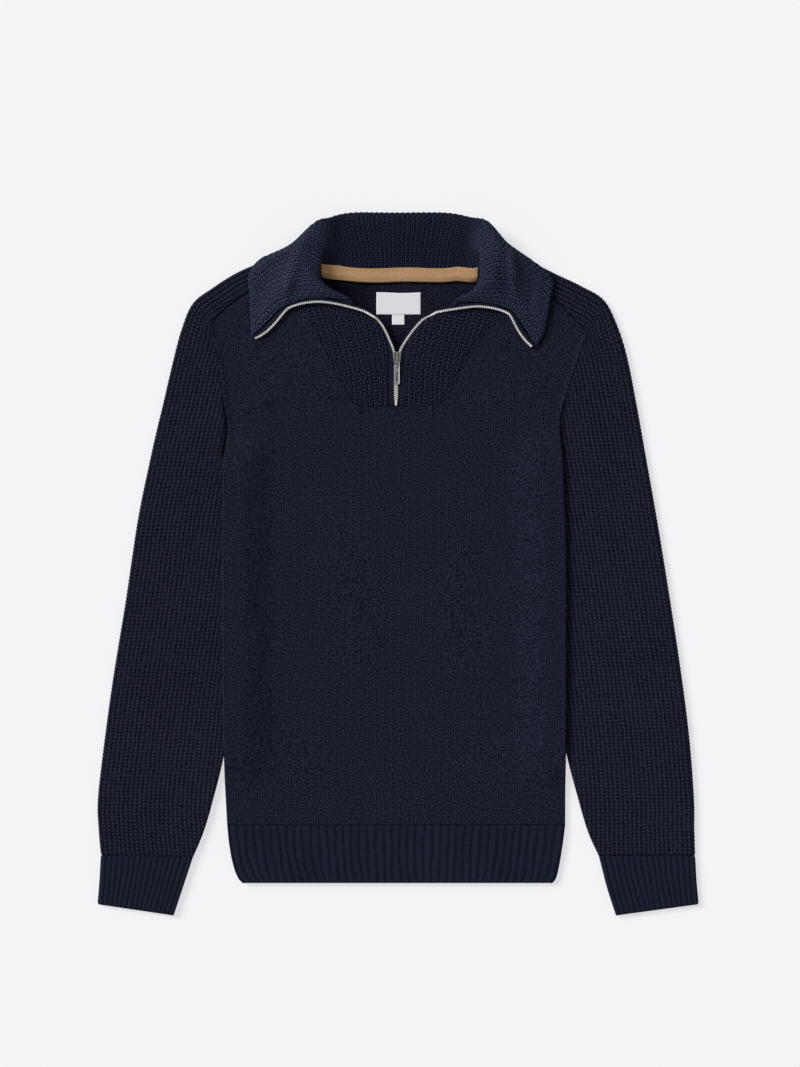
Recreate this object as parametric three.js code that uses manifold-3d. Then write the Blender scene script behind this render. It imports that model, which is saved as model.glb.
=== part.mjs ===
// Quarter zip sweater laid flat: x across, y up the garment to the collar, z up from the table, in mm.
import * as THREE from 'three';
import { mergeVertices } from 'three/addons/utils/BufferGeometryUtils.js';
import Module from 'manifold-3d';

const wasm = await Module();
wasm.setup();

// Walls and layers
const SEAM = 0.5;             // gap between two pieces sewn together
const JERSEY = 2.4;           // body knit
const WAFFLE = 3.0;           // sleeve knit
const INSET = 2.8;            // waffle beside the zip
const COLLAR = 3.0;
const RIB = 2.4;              // hem and cuff wall under the ribs
const RIB_RELIEF = 0.6;
const TAPE = 1.4;             // zip tape
const BEAD = 2.2;             // rows of zip teeth
const TRIM = 1.0;             // neck tape and label
const BODY_LAID = 5.8;        // front on back
const SLEEVE_LAID = 7.0;
const RIB_LAID = 6.4;
const NECK_RISE = 6.0;        // the front stands off the back round the open neck
const SIDE_LIFT = 7.7;        // the body's sides lie on the sleeves
const HEM_RIBS = 41;
const CUFF_RIBS = 15;

// Body side seams, from the hem up to the armholes
const BODY_SIDE = [
  // y, left, right
  [-294.6, -192.8, 188.7],
  [-249.4, -195.3, 188.9],
  [-199.7, -196.6, 189.4],
  [-100.2, -198.5, 189.8],
  [0.3, -198.9, 189.8],
  [60.2, -198.2, 188.1],
  [109.9, -197.3, 186.4],
  [140.0, -194.2, 184.4],
  [152.0, -192.8, 183.2],
  [165.0, -193.9, 184.2],
  [178.0, -196.3, 187.0],
];

// Hem band
const HEM_SIDE = [
  // share of the depth, left, right, y
  [0.0, -192.8, 188.7, -295.1],
  [0.28, -191.0, 186.4, -313.8],
  [0.56, -188.1, 183.6, -331.9],
  [0.78, -184.2, 180.8, -346.6],
  [0.94, -179.6, 178.0, -356.6],
  [1.0, -175.1, 174.0, -360.2],
];

// Sides of the notch in the front panel, from its bottom corners to the neck
const NOTCH = {
  left: [[-47.5, 178.0], [-58.2, 194.1], [-69.4, 216.4], [-80.2, 238.2], [-91.5, 261.4],
    [-102.8, 286.2], [-110.0, 337.0]],
  right: [[41.8, 178.0], [54.8, 194.1], [67.8, 216.4], [79.1, 238.2], [94.9, 261.4],
    [109.6, 286.2], [110.0, 337.0]],
};

// Sleeves: where the laid tube meets the body, and its outer fold
const SLEEVE = {
  left: [
    // inner x, inner y, outer x, outer y, closed underarm
    [-109.5, 338.5, -106.5, 354.5, 0],
    [-138.0, 325.0, -143.0, 344.0, 0],
    [-171.4, 306.5, -179.7, 329.2, 0],
    [-195.0, 289.5, -209.0, 311.1, 0],
    [-211.8, 268.0, -231.1, 293.6, 0],
    [-207.2, 249.5, -243.5, 264.5, 0],
    [-202.3, 228.6, -252.6, 230.6, 0],
    [-196.3, 178.0, -264.4, 180.0, 0],
    [-193.9, 152.0, -271.2, 152.0, 0],
    [-200.9, 115.6, -279.1, 116.7, 1],
    [-183.1, 50.1, -292.7, 50.1, 1],
    [-180.8, -40.3, -306.2, -40.3, 1],
    [-185.3, -130.7, -320.9, -130.7, 1],
    [-196.6, -212.1, -331.7, -209.8, 1],
    [-210.2, -268.6, -337.9, -266.3, 1],
    [-220.3, -302.5, -337.1, -298.0, 1],
    [-232.2, -330.9, -334.5, -328.1, 1],
  ],
  right: [
    [109.5, 338.5, 106.5, 354.5, 0],
    [140.0, 323.0, 143.5, 343.0, 0],
    [175.5, 301.0, 181.4, 325.2, 0],
    [197.5, 280.0, 206.8, 313.1, 0],
    [213.4, 260.5, 232.2, 297.0, 0],
    [208.0, 244.5, 248.0, 265.6, 0],
    [203.6, 228.6, 258.5, 230.6, 0],
    [187.0, 178.0, 268.4, 180.0, 0],
    [184.4, 152.0, 273.5, 152.0, 0],
    [191.5, 115.6, 279.7, 116.7, 1],
    [175.1, 50.1, 291.5, 50.1, 1],
    [172.9, -40.3, 306.2, -40.3, 1],
    [177.4, -130.7, 319.8, -130.7, 1],
    [188.7, -204.2, 328.5, -201.9, 1],
    [204.5, -266.3, 333.3, -266.3, 1],
    [215.3, -302.5, 333.6, -298.0, 1],
    [227.1, -328.7, 334.5, -329.2, 1],
  ],
};

// Cuffs
const CUFF = {
  left: [
    // inner x, inner y, outer x, outer y, closed
    [-232.4, -331.8, -334.5, -329.0, 1],
    [-243.6, -365.6, -336.2, -359.0, 1],
    [-254.0, -396.9, -338.3, -384.4, 1],
  ],
  right: [
    [227.3, -329.6, 334.5, -330.1, 1],
    [236.7, -365.8, 336.2, -359.0, 1],
    [246.7, -396.9, 338.5, -384.4, 1],
  ],
};

// Collar sections from one zip edge round the back of the neck to the other
const COLLAR_ROWS = [
  // seam x y z, roll x y z, crest x y z, fall x y z, edge x y z, lies on the front
  [-25.4, 278.9, 12.8, -45.5, 288.4, 15.6, -90.4, 296.6, 17.2, -129.2, 286.7, 14.0, -163.0, 255.0, 9.9, 1],
  [-27.2, 281.9, 12.8, -46.2, 292.0, 15.9, -90.6, 300.4, 17.8, -131.6, 289.6, 14.1, -165.2, 257.6, 9.9, 1],
  [-50.5, 292.6, 12.8, -60.5, 301.5, 18.5, -88.1, 308.3, 22.0, -133.3, 303.2, 16.0, -165.9, 273.8, 10.0, 1],
  [-71.2, 299.8, 12.8, -76.8, 308.8, 19.5, -101.7, 322.4, 25.0, -142.4, 312.2, 16.0, -166.7, 291.9, 10.3, 1],
  [-93.8, 314.5, 12.8, -88.7, 322.4, 20.5, -107.4, 341.6, 27.0, -139.0, 334.8, 18.0, -168.0, 308.8, 11.0, 1],
  [-105.0, 332.6, 12.9, -87.6, 341.6, 21.5, -106.2, 356.3, 28.0, -141.3, 345.0, 20.0, -168.4, 325.8, 12.0, 1],
  [-103.0, 341.6, 12.9, -83.6, 356.3, 20.5, -100.6, 369.8, 26.0, -126.6, 355.0, 18.0, -153.7, 344.5, 12.5, 1],
  [-85.9, 330.3, 7.4, -75.7, 363.1, 15.5, -85.9, 387.0, 19.0, -104.0, 370.4, 14.0, -110.7, 355.2, 9.0, 0.3],
  [-54.2, 325.3, 5.2, -56.5, 355.2, 10.6, -61.0, 385.6, 12.8, -64.4, 392.8, 8.2, -67.8, 361.9, 2.8, 0],
  [0.0, 324.6, 4.8, 0.0, 355.2, 9.4, 0.0, 387.4, 12.0, 0.0, 393.9, 7.2, 0.0, 360.8, 2.3, 0],
  [56.5, 325.3, 5.2, 58.8, 355.2, 10.6, 63.3, 385.6, 12.8, 66.7, 392.8, 8.2, 70.1, 361.9, 2.8, 0],
  [88.1, 330.3, 7.4, 80.2, 363.1, 15.5, 95.0, 387.0, 19.0, 108.5, 372.1, 14.0, 119.8, 358.5, 9.0, 0.3],
  [104.0, 340.5, 12.9, 91.0, 355.2, 20.5, 108.5, 366.5, 26.0, 134.5, 349.5, 18.0, 161.6, 334.3, 12.5, 1],
  [106.0, 330.3, 12.9, 93.2, 339.3, 21.5, 110.7, 354.0, 28.0, 145.8, 340.5, 20.0, 174.6, 320.1, 12.0, 1],
  [97.2, 312.2, 12.8, 92.1, 320.1, 20.5, 110.7, 337.1, 27.0, 143.5, 326.9, 18.0, 171.2, 297.5, 11.0, 1],
  [79.1, 298.7, 12.8, 84.8, 307.1, 19.5, 104.0, 317.9, 25.0, 142.4, 312.2, 16.0, 167.8, 276.1, 10.3, 1],
  [62.5, 291.6, 12.8, 70.1, 299.8, 18.5, 93.8, 303.2, 22.0, 134.5, 299.8, 16.0, 163.3, 259.1, 10.0, 1],
  [45.0, 287.5, 12.8, 61.6, 291.5, 15.9, 96.4, 294.8, 17.8, 132.2, 282.8, 14.1, 156.0, 247.3, 9.9, 1],
  [42.0, 284.4, 12.8, 61.0, 288.0, 15.6, 96.1, 291.0, 17.2, 129.7, 279.9, 14.0, 153.2, 244.8, 9.9, 1],
];

// Zip below the neck seam: edge of the teeth, edge of the cloth
const ZIP_LOWER = {
  left: [
    // tooth x, tooth y, cloth x, cloth y
    [-3.8, 178.7, -10.6, 178.7],
    [-3.8, 205.0, -10.6, 205.0],
    [-3.8, 227.5, -10.6, 227.5],
    [-5.6, 241.0, -10.4, 241.4],
    [-11.3, 255.7, -14.7, 256.5],
    [-17.4, 268.5, -20.3, 270.1],
    [-22.6, 275.8, -24.9, 278.0],
  ],
  right: [
    [1.6, 178.7, 8.2, 178.7],
    [1.6, 205.0, 8.2, 205.0],
    [1.6, 227.5, 8.2, 227.5],
    [3.2, 241.0, 7.8, 241.3],
    [12.9, 258.0, 16.1, 259.4],
    [25.9, 274.0, 28.3, 275.7],
    [38.8, 281.9, 41.0, 284.3],
  ],
};

// Slider and pull
const SLIDER = { x: -1.1, y: 233.1, width: 9.0, length: 13.6, plate: 1.3, arch: 2.0 };
const PULL = { y: -4.0, bar: 0.75, arm: 1.0, spread: 2.4, reach: 9.0, width: 5.8, length: 18.0, tilt: 7.5 };

const smooth = (a, b, x) => {
  const t = Math.min(1, Math.max(0, (x - a) / (b - a)));
  return t * t * (3 - 2 * t);
};
const mix = (a, b, t) => a + (b - a) * t;

// Catmull-Rom value through a list of number rows, t from 0 to rows - 1
function spline(rows, t) {
  const k = Math.min(rows.length - 2, Math.max(0, Math.floor(t)));
  const f = t - k;
  const p1 = rows[k];
  const p2 = rows[k + 1];
  const p0 = rows[k - 1] ?? p1.map((v, i) => 2 * v - p2[i]);
  const p3 = rows[k + 2] ?? p2.map((v, i) => 2 * v - p1[i]);
  return p1.map((v, i) => {
    const a = 0.5 * (p2[i] - p0[i]);
    const b = 0.5 * (p3[i] - v);
    return v * (2 * f ** 3 - 3 * f ** 2 + 1) + a * (f ** 3 - 2 * f ** 2 + f)
      + p2[i] * (3 * f ** 2 - 2 * f ** 3) + b * (f ** 3 - f ** 2);
  });
}

// Straight interpolation in a table keyed by its first column
function lookup(rows, key) {
  let k = 0;
  while (k < rows.length - 2 && key > rows[k + 1][0]) k += 1;
  const t = (key - rows[k][0]) / (rows[k + 1][0] - rows[k][0]);
  return rows[k].map((v, i) => mix(v, rows[k + 1][i], t));
}

const linspace = (a, b, n) => Array.from({ length: n + 1 }, (_, i) => mix(a, b, i / n));

// Height of the upper layer over the table round the open neck
const rise = (x, y) => NECK_RISE * smooth(158, 290, y) * (1 - smooth(80, 190, Math.abs(x)));

// Lift of both body layers where the sides lie on the sleeves
function lift(x, y) {
  const [, left, right] = lookup(BODY_SIDE, Math.min(178, Math.max(-294.6, y)));
  const depth = Math.min(x - left, right - x);
  const along = (1 - smooth(105, 158, y)) * smooth(-264, -207, y);
  return SIDE_LIFT * along * (1 - smooth(20, 62, depth));
}

// Middle of a wall: share 0 on the table, 1 on top
const layer = (share, x, y, laid, wall) => wall / 2 + share * (laid - wall + rise(x, y));

// Closed wall round a grid of mid-surface points
function wallGeometry(grid, wall, { flip = false, relief = () => 0, keep = () => true } = {}) {
  const nu = grid.length;
  const nv = grid[0].length;
  const outer = [];
  const inner = [];
  for (let i = 0; i < nu; i += 1) {
    for (let j = 0; j < nv; j += 1) {
      const du = new THREE.Vector3().subVectors(grid[Math.min(nu - 1, i + 1)][j], grid[Math.max(0, i - 1)][j]);
      const dv = new THREE.Vector3().subVectors(grid[i][Math.min(nv - 1, j + 1)], grid[i][Math.max(0, j - 1)]);
      const n = du.cross(dv).normalize().multiplyScalar(flip ? -1 : 1);
      outer.push(grid[i][j].clone().addScaledVector(n, wall / 2 + relief(i, j)));
      inner.push(grid[i][j].clone().addScaledVector(n, -wall / 2));
    }
  }
  const count = nu * nv;
  const index = [];
  const face = (a, b, c) => index.push(...(flip ? [a, c, b] : [a, b, c]));
  const kept = (i, j) => i >= 0 && j >= 0 && i < nu - 1 && j < nv - 1 && keep(i, j);
  for (let i = 0; i < nu - 1; i += 1) {
    for (let j = 0; j < nv - 1; j += 1) {
      if (!kept(i, j)) continue;
      const a = i * nv + j;
      const b = (i + 1) * nv + j;
      const c = b + 1;
      const d = a + 1;
      face(a, b, c);
      face(a, c, d);
      face(a + count, c + count, b + count);
      face(a + count, d + count, c + count);
      const edges = [[a, b, i, j - 1], [b, c, i + 1, j], [c, d, i, j + 1], [d, a, i - 1, j]];
      for (const [p, q, ni, nj] of edges) {
        if (kept(ni, nj)) continue;
        face(q, p, p + count);
        face(q, p + count, q + count);
      }
    }
  }
  const geometry = new THREE.BufferGeometry();
  const points = [...outer, ...inner].flatMap((p) => [p.x, p.y, p.z]);
  geometry.setAttribute('position', new THREE.Float32BufferAttribute(points, 3));
  geometry.setIndex(index);
  return geometry;
}

const navy = new THREE.MeshStandardMaterial({ color: 0x141b2c, roughness: 0.95, metalness: 0 });
const navyWaffle = new THREE.MeshStandardMaterial({ color: 0x182034, roughness: 0.95, metalness: 0 });
const tapeBlue = new THREE.MeshStandardMaterial({ color: 0x1a2540, roughness: 0.85, metalness: 0 });
const caramel = new THREE.MeshStandardMaterial({ color: 0xc19664, roughness: 0.9, metalness: 0 });
const white = new THREE.MeshStandardMaterial({ color: 0xf2f2f0, roughness: 0.8, metalness: 0 });
const silver = new THREE.MeshStandardMaterial({ color: 0xc9c7c0, roughness: 0.3, metalness: 1 });

const sweater = new THREE.Group();

function addPiece(name, geometry, material) {
  const clean = geometry.clone();
  clean.deleteAttribute('uv');
  clean.deleteAttribute('normal');
  const merged = mergeVertices(clean, 1e-4);
  merged.computeVertexNormals();
  const mesh = new THREE.Mesh(merged, material);
  mesh.name = name;
  sweater.add(mesh);
  return mesh;
}

// Body panels: the same grid for the front, and for the back with its own top edge
const EDGE_SHARES = [0, 0.06, 0.12, 0.21, 0.3, 0.4, 0.6, 0.8, 1];
const SIDE_TURN = [[0, 0.4], [0.13, 0.82], [1, 1]];

function sideTurn(k, closed, front, radius) {
  const [inset, height] = SIDE_TURN[k];
  const share = 0.5 + 0.5 * mix(1, height, closed);
  return { inset: radius * inset, share: front ? share : 1 - share };
}

function curve(table, t) {
  return spline(table, t * (table.length - 1));
}

// Coons patch between an outer side, the notch side, a level bottom and a top edge
function coons(outerSide, innerSide, top, u, v) {
  const o = outerSide(v);
  const n = innerSide(v);
  const t = top(u);
  const [o0, n0] = [outerSide(0), innerSide(0)];
  const [t0, t1] = [top(0), top(1)];
  return [0, 1].map((k) => mix(o[k], n[k], u) + mix(mix(o0[k], n0[k], u), t[k], v)
    - mix(mix(o0[k], n0[k], u), mix(t0[k], t1[k], u), v));
}

const BODY_LEVELS = [-294.6, -264, -234, -205, -120, -30, 60, 105, 122, 140, 158, 178];
const UPPER_SHARES = linspace(0, 1, 6).slice(1);

// Inner edge of a sleeve: the armhole from row 7 up to 4, the saddle seam from 4 to 0
const SLEEVE_STEPS = [0, 1, 2, 3, 3.5, 4, 4.5, 5, 5.5, 6, 6.5, 7, 8, 8.5, 9, 9.5, 10, 11, 12, 13, 14, 15, 16];
function innerEdge(side, step) {
  let k = 0;
  while (k < SLEEVE_STEPS.length - 2 && step > SLEEVE_STEPS[k + 1]) k += 1;
  const a = spline(SLEEVE[side], SLEEVE_STEPS[k]);
  const b = spline(SLEEVE[side], SLEEVE_STEPS[k + 1]);
  const t = (step - SLEEVE_STEPS[k]) / (SLEEVE_STEPS[k + 1] - SLEEVE_STEPS[k]);
  return [mix(a[0], b[0], t), mix(a[1], b[1], t)];
}
const armholeAt = (side, v) => innerEdge(side, 7 - 3 * v);
const saddleAt = (side, u) => innerEdge(side, 4 - 4 * u);

// Back panel: lines from the level of the notch to the back neck edge
const BACK_NECK = {
  left: [[-47.5, 178], [-47.5, 230], [-54, 290], [-60, 331.5]],
  right: [[41.8, 178], [41.8, 230], [52, 290], [60, 331.5]],
};

function bodyPanel(front) {
  const radius = (BODY_LAID - JERSEY) / 2;
  const grid = [];
  const columns = [];
  SIDE_TURN.slice(0, 2).forEach((_, k) => columns.push(['left turn', k]));
  EDGE_SHARES.forEach((u) => columns.push(['left', u]));
  [1 / 3, 2 / 3].forEach((u) => columns.push(['centre', u]));
  [...EDGE_SHARES].reverse().forEach((u) => columns.push(['right', u]));
  [1, 0].forEach((k) => columns.push(['right turn', k]));
  const levels = [...BODY_LEVELS.map((y) => ['level', y]), ...UPPER_SHARES.map((v) => ['upper', v])];
  for (const [zone, c] of columns) {
    const line = [];
    for (const [kind, r] of levels) {
      const side = zone.startsWith('left') ? 'left' : 'right';
      const sign = side === 'left' ? 1 : -1;
      const closed = kind === 'level' ? 1 - smooth(112, 150, r) : 0;
      let x;
      let y;
      const turn = zone.endsWith('turn') ? c : 2;
      const bend = sideTurn(turn, closed, front, radius);
      const armhole = (v) => armholeAt(side, v).map((p, k) => (k === 0 ? p + sign * SEAM : p - 0.5 * v));
      const neck = front ? NOTCH : BACK_NECK;
      const inner = (v) => curve(neck[side], v);
      const shoulder = (u) => {
        const p = saddleAt(side, u);
        const end = curve(neck[side], 1);
        const gap = [p[0] + sign * SEAM, p[1] - 0.6];
        return [0, 1].map((k) => gap[k] + (end[k] - saddleAt(side, 1)[k] - [sign * SEAM, -0.6][k]) * u ** 6);
      };
      if (kind === 'level') {
        const [, left, right] = lookup(BODY_SIDE, r);
        const apart = SEAM * (1 - closed);
        const ends = [left + apart, right - apart];
        const notch = [neck.left[0][0], neck.right[0][0]];
        y = r;
        if (zone === 'left') x = mix(ends[0] + radius, notch[0], c);
        else if (zone === 'right') x = mix(ends[1] - radius, notch[1], c);
        else if (zone === 'centre') x = mix(notch[0], notch[1], c);
        else x = (side === 'left' ? ends[0] : ends[1]) + sign * bend.inset;
      } else if (zone === 'centre') {
        const a = curve(neck.left, r);
        const b = curve(neck.right, r);
        x = mix(a[0], b[0], c);
        y = mix(a[1], b[1], c) - (front ? 0 : 8.8 * c * (1 - c) * r);
      } else {
        const width = Math.abs(neck[side][0][0] - armhole(0)[0]);
        const u = zone.endsWith('turn') ? SIDE_TURN[turn][0] * radius / width : mix(radius / width, 1, c);
        [x, y] = coons(armhole, inner, shoulder, u, r);
      }
      const z = layer(bend.share, x, y, BODY_LAID, JERSEY) + lift(x, y);
      line.push(new THREE.Vector3(x, y, z));
    }
    grid.push(line);
  }
  const first = columns.findIndex(([zone, c]) => zone === 'left' && c === 1);
  const notchCell = (i, j) => i >= first && i < first + 3 && j >= BODY_LEVELS.length - 1;
  return wallGeometry(grid, JERSEY, { flip: !front, keep: (i, j) => !(front && notchCell(i, j)) });
}

addPiece('front', bodyPanel(true), navy);
addPiece('back', bodyPanel(false), navy);

// Tubes laid flat: sleeves and cuffs, open at a slit on the inner fold
function tubeSection(row, laid, wall, place) {
  const [ix, iy, ox, oy, closed] = row;
  const width = Math.hypot(ox - ix, oy - iy);
  const radius = (laid - wall) / 2;
  const { part, u } = place;
  let along;
  let share;
  if (part === 'outer') {
    const angle = mix(-90, 90, u) * Math.PI / 180;
    along = width - radius + radius * Math.cos(angle);
    share = 0.5 + 0.5 * Math.sin(angle);
  } else if (part === 'top' || part === 'bottom') {
    along = mix(width - radius, radius, part === 'top' ? u : 1 - u);
    share = part === 'top' ? 1 : 0;
  } else {
    const [inset, height] = SIDE_TURN[u];
    along = radius * mix(u / 2, inset, closed);
    const up = 0.5 + 0.5 * mix(1, height, closed);
    share = part === 'top turn' ? up : 1 - up;
  }
  const t = along / width;
  const x = mix(ix, ox, t);
  const y = mix(iy, oy, t);
  return new THREE.Vector3(x, y, layer(share, x, y, laid, wall));
}

function tubePlaces(topSteps, bottomSteps) {
  const places = [];
  const push = (part, list) => list.forEach((u) => places.push({ part, u }));
  push('bottom turn', [0, 1]);
  push('bottom', linspace(0, 1, bottomSteps));
  push('outer', [0.25, 0.5, 0.75]);
  push('top', linspace(0, 1, topSteps));
  push('top turn', [1, 0]);
  return places;
}

function tube(rows, steps, laid, wall, places, options) {
  const grid = places.map((place) => steps.map((t) => tubeSection(spline(rows, t), laid, wall, place)));
  return wallGeometry(grid, wall, options);
}

const sleevePlaces = tubePlaces(5, 4);
for (const side of ['left', 'right']) {
  const shape = tube(SLEEVE[side], SLEEVE_STEPS, SLEEVE_LAID, WAFFLE, sleevePlaces, { flip: side === 'left' });
  addPiece(`sleeve_${side}`, shape, navyWaffle);
}

// Ribs raised on the side that shows: low, high, high, low along each rib
const ribRelief = (k) => (k % 4 === 1 || k % 4 === 2 ? RIB_RELIEF : 0);
const cuffPlaces = tubePlaces(4 * CUFF_RIBS, 4);
const cuffTop = cuffPlaces.findIndex((p) => p.part === 'top');
for (const side of ['left', 'right']) {
  const relief = (i) => {
    const k = i - cuffTop;
    return k > 0 && k < 4 * CUFF_RIBS ? ribRelief(k) : 0;
  };
  const shape = tube(CUFF[side], [0, 1, 2], RIB_LAID, RIB, cuffPlaces, { flip: side === 'left', relief });
  addPiece(`cuff_${side}`, shape, navy);
}

// Hem bands
function hemBand(front) {
  const radius = (RIB_LAID - RIB) / 2;
  const cells = front ? 4 * HEM_RIBS : 10;
  const levels = [0, 0.56, 0.9, 1];
  const columns = [['left turn', 0], ['left turn', 1]];
  linspace(0, 1, cells).forEach((u) => columns.push(['flat', u]));
  columns.push(['right turn', 1], ['right turn', 0]);
  const grid = columns.map(([zone, c]) => levels.map((v) => {
    const [, left, right, y] = lookup(HEM_SIDE, v);
    const bend = sideTurn(zone === 'flat' ? 2 : c, 1, front, radius);
    let x = mix(left + radius, right - radius, c);
    if (zone === 'left turn') x = left + bend.inset;
    if (zone === 'right turn') x = right - bend.inset;
    return new THREE.Vector3(x, y, layer(bend.share, x, y, RIB_LAID, RIB));
  }));
  const relief = (i) => (front && i > 2 && i < cells + 2 ? ribRelief(i - 2) : 0);
  return wallGeometry(grid, RIB, { flip: front, relief });
}
addPiece('hem_front', hemBand(true), navy);
addPiece('hem_back', hemBand(false), navy);

// Waffle insets between the front's notch and the zip tape
const insetHeight = (x, y) => BODY_LAID - JERSEY / 2 + (INSET - JERSEY) / 2 + 0.1 + rise(x, y);
const INSET_TOP = {
  left: [[-104.5, 327.0], [-92.0, 311.0], [-69.5, 296.0], [-45.0, 285.5]],
  right: [[105.0, 325.0], [95.5, 309.0], [77.5, 295.0], [60.0, 286.8]],
};
for (const side of ['left', 'right']) {
  const sign = side === 'left' ? 1 : -1;
  const outerSide = (v) => curve(NOTCH[side], v).map((p, k) => (k === 0 ? p + sign * SEAM : p + 0.7 * (1 - v)));
  const clothEdge = ZIP_LOWER[side].map(([, , x, y]) => [x - sign * 1.2 * SEAM, y]);
  clothEdge.at(-1)[0] -= sign * 2.4;
  clothEdge.at(-1)[1] -= 2.2;
  const innerSide = (v) => curve(clothEdge, v);
  const topSide = (u) => curve([outerSide(1), ...INSET_TOP[side], innerSide(1)], u);
  const grid = linspace(0, 1, 6).map((u) => linspace(0, 1, 6).map((v) => {
    const [x, y] = coons(outerSide, innerSide, topSide, u, v);
    return new THREE.Vector3(x, y, insetHeight(x, y));
  }));
  addPiece(`inset_${side}`, wallGeometry(grid, INSET, { flip: side === 'right' }), navyWaffle);
}

// Collar, lofted through its sections and laid on what is under it
function collarPoint(u, v) {
  const row = spline(COLLAR_ROWS, u);
  const stops = [0, 3, 6, 9, 12].map((k) => row.slice(k, k + 3));
  const p = spline(stops, v * 4);
  const bow = Math.sin(Math.PI * Math.min(1, Math.max(0, (v - 0.72) / 0.28)));
  const leftBow = bow * (1 - smooth(0, 1.8, u));
  const rightBow = bow * (1 - smooth(0, 1.8, COLLAR_ROWS.length - 1 - u));
  p[0] += 1.7 * leftBow - 4.5 * rightBow;
  p[1] -= 5.6 * leftBow + 2.0 * rightBow;
  const resting = row[15] * smooth(0.3, 0.5, v) * (SLEEVE_LAID + 0.4 + COLLAR / 2 + rise(p[0], p[1]));
  return new THREE.Vector3(p[0], p[1], Math.max(p[2], resting));
}
const LAST = COLLAR_ROWS.length - 1;
const collarV = [0, 0.1, 0.22, 0.34, 0.44, 0.53, 0.62, 0.7, 0.78, 0.88, 1];
const collarShares = linspace(0, 1, 32);
const collarEnd = (v) => 1.22 + 0.7 * (1 - smooth(0.14, 0.52, v));
const collarGrid = collarShares.map((t) => collarV.map((v) => {
  const end = collarEnd(v);
  return collarPoint(mix(end, LAST - end, t), v);
}));
addPiece('collar', wallGeometry(collarGrid, COLLAR), navyWaffle);

// Zip tapes: from the bottom of the opening past the neck seam to the collar's tip
function zipRows(side) {
  const edge = side === 'left' ? 0 : LAST;
  const inside = side === 'left' ? 0.78 : LAST - 0.78;
  const lower = ZIP_LOWER[side].map(([tx, ty, cx, cy]) => ({
    tooth: new THREE.Vector3(tx, ty, insetHeight(tx, ty)),
    cloth: new THREE.Vector3(cx, cy, insetHeight(cx, cy)),
  }));
  const upper = [0.02, 0.08, 0.16, 0.25, 0.36, 0.46, 0.56, 0.66, 0.75, 0.82, 0.88, 0.94, 1].map((v) => ({
    tooth: collarPoint(edge, v),
    cloth: collarPoint(inside, v),
  }));
  return [...lower, ...upper];
}

function zipStrip(side, from, to, wall, rows, flip) {
  const shares = [0, 1];
  const grid = shares.map((s) => rows.map(({ tooth, cloth }) => {
    const across = cloth.clone().sub(tooth);
    const distance = mix(from, to, s);
    return tooth.clone().addScaledVector(across.normalize(), distance);
  }));
  return wallGeometry(grid, wall, { flip });
}

for (const side of ['left', 'right']) {
  const rows = zipRows(side);
  const spread = rows.map(({ tooth, cloth }) => tooth.distanceTo(cloth));
  const grid = [0, 1].map((s) => rows.map(({ tooth, cloth }, k) => {
    const across = cloth.clone().sub(tooth).normalize();
    return tooth.clone().addScaledVector(across, s * (spread[k] - 0.1));
  }));
  addPiece(`zip_tape_${side}`, wallGeometry(grid, TAPE, { flip: side === 'left' }), tapeBlue);
  addPiece(`zip_teeth_${side}`, zipStrip(side, -0.3, -2.4, BEAD, rows.slice(3), side === 'right'), silver);
}

// Closed teeth below the slider
const chainGrid = [-3.5, 1.3].map((x) => [178.2, 184, 195, 206, 216, 225.6].map((y) => {
  const taper = smooth(174, 184, y);
  return new THREE.Vector3(mix(-1.1, x, taper), y, insetHeight(0, y));
}));
addPiece('zip_chain', wallGeometry(chainGrid, BEAD), silver);

// Neck tape over the back neck seam, made from the collar's points
const tapeU = linspace(7.05, 10.95, 12);
const tapeGrid = tapeU.map((u) => {
  const foot = collarPoint(u, 0);
  const line = [];
  for (const v of [0, 0.03, 0.06, 0.085]) {
    const p = collarPoint(u, v);
    const du = collarPoint(u + 0.05, v).sub(collarPoint(u - 0.05, v));
    const dv = collarPoint(u, v + 0.02).sub(collarPoint(u, Math.max(0, v - 0.02)));
    const n = du.cross(dv).normalize();
    line.push(p.addScaledVector(n, COLLAR / 2 + 0.45 + TRIM / 2));
  }
  const low = new THREE.Vector3(foot.x, foot.y - 5.6, JERSEY + 0.35 + TRIM / 2);
  return [low, ...line];
});

addPiece('neck_tape', wallGeometry(tapeGrid, TRIM), caramel);

// Label and size tab on the back panel
function patch(x0, x1, y0, y1, height) {
  const shape = new THREE.BoxGeometry(x1 - x0, y1 - y0, TRIM);
  shape.translate((x0 + x1) / 2, (y0 + y1) / 2, height + TRIM / 2);
  return shape;
}
addPiece('label', patch(-24.4, 25.8, 282.4, 307.2, JERSEY + 0.3), white);
addPiece('size_tab', patch(-6.8, 7.3, 270.9, 282.1, JERSEY + 0.3), white);

// Booleans of closed three.js geometries
function solid(geometry) {
  const clean = geometry.clone();
  clean.deleteAttribute('uv');
  clean.deleteAttribute('normal');
  const merged = mergeVertices(clean, 1e-5);
  return new wasm.Manifold(new wasm.Mesh({
    numProp: 3,
    vertProperties: new Float32Array(merged.attributes.position.array),
    triVerts: new Uint32Array(merged.index.array),
  }));
}
function geometryOf(manifold) {
  const mesh = manifold.getMesh();
  const geometry = new THREE.BufferGeometry();
  geometry.setAttribute('position', new THREE.BufferAttribute(mesh.vertProperties, 3));
  geometry.setIndex(new THREE.BufferAttribute(mesh.triVerts, 1));
  return geometry;
}
const joined = (list) => geometryOf(list.map(solid).reduce((a, b) => a.add(b)));

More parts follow.
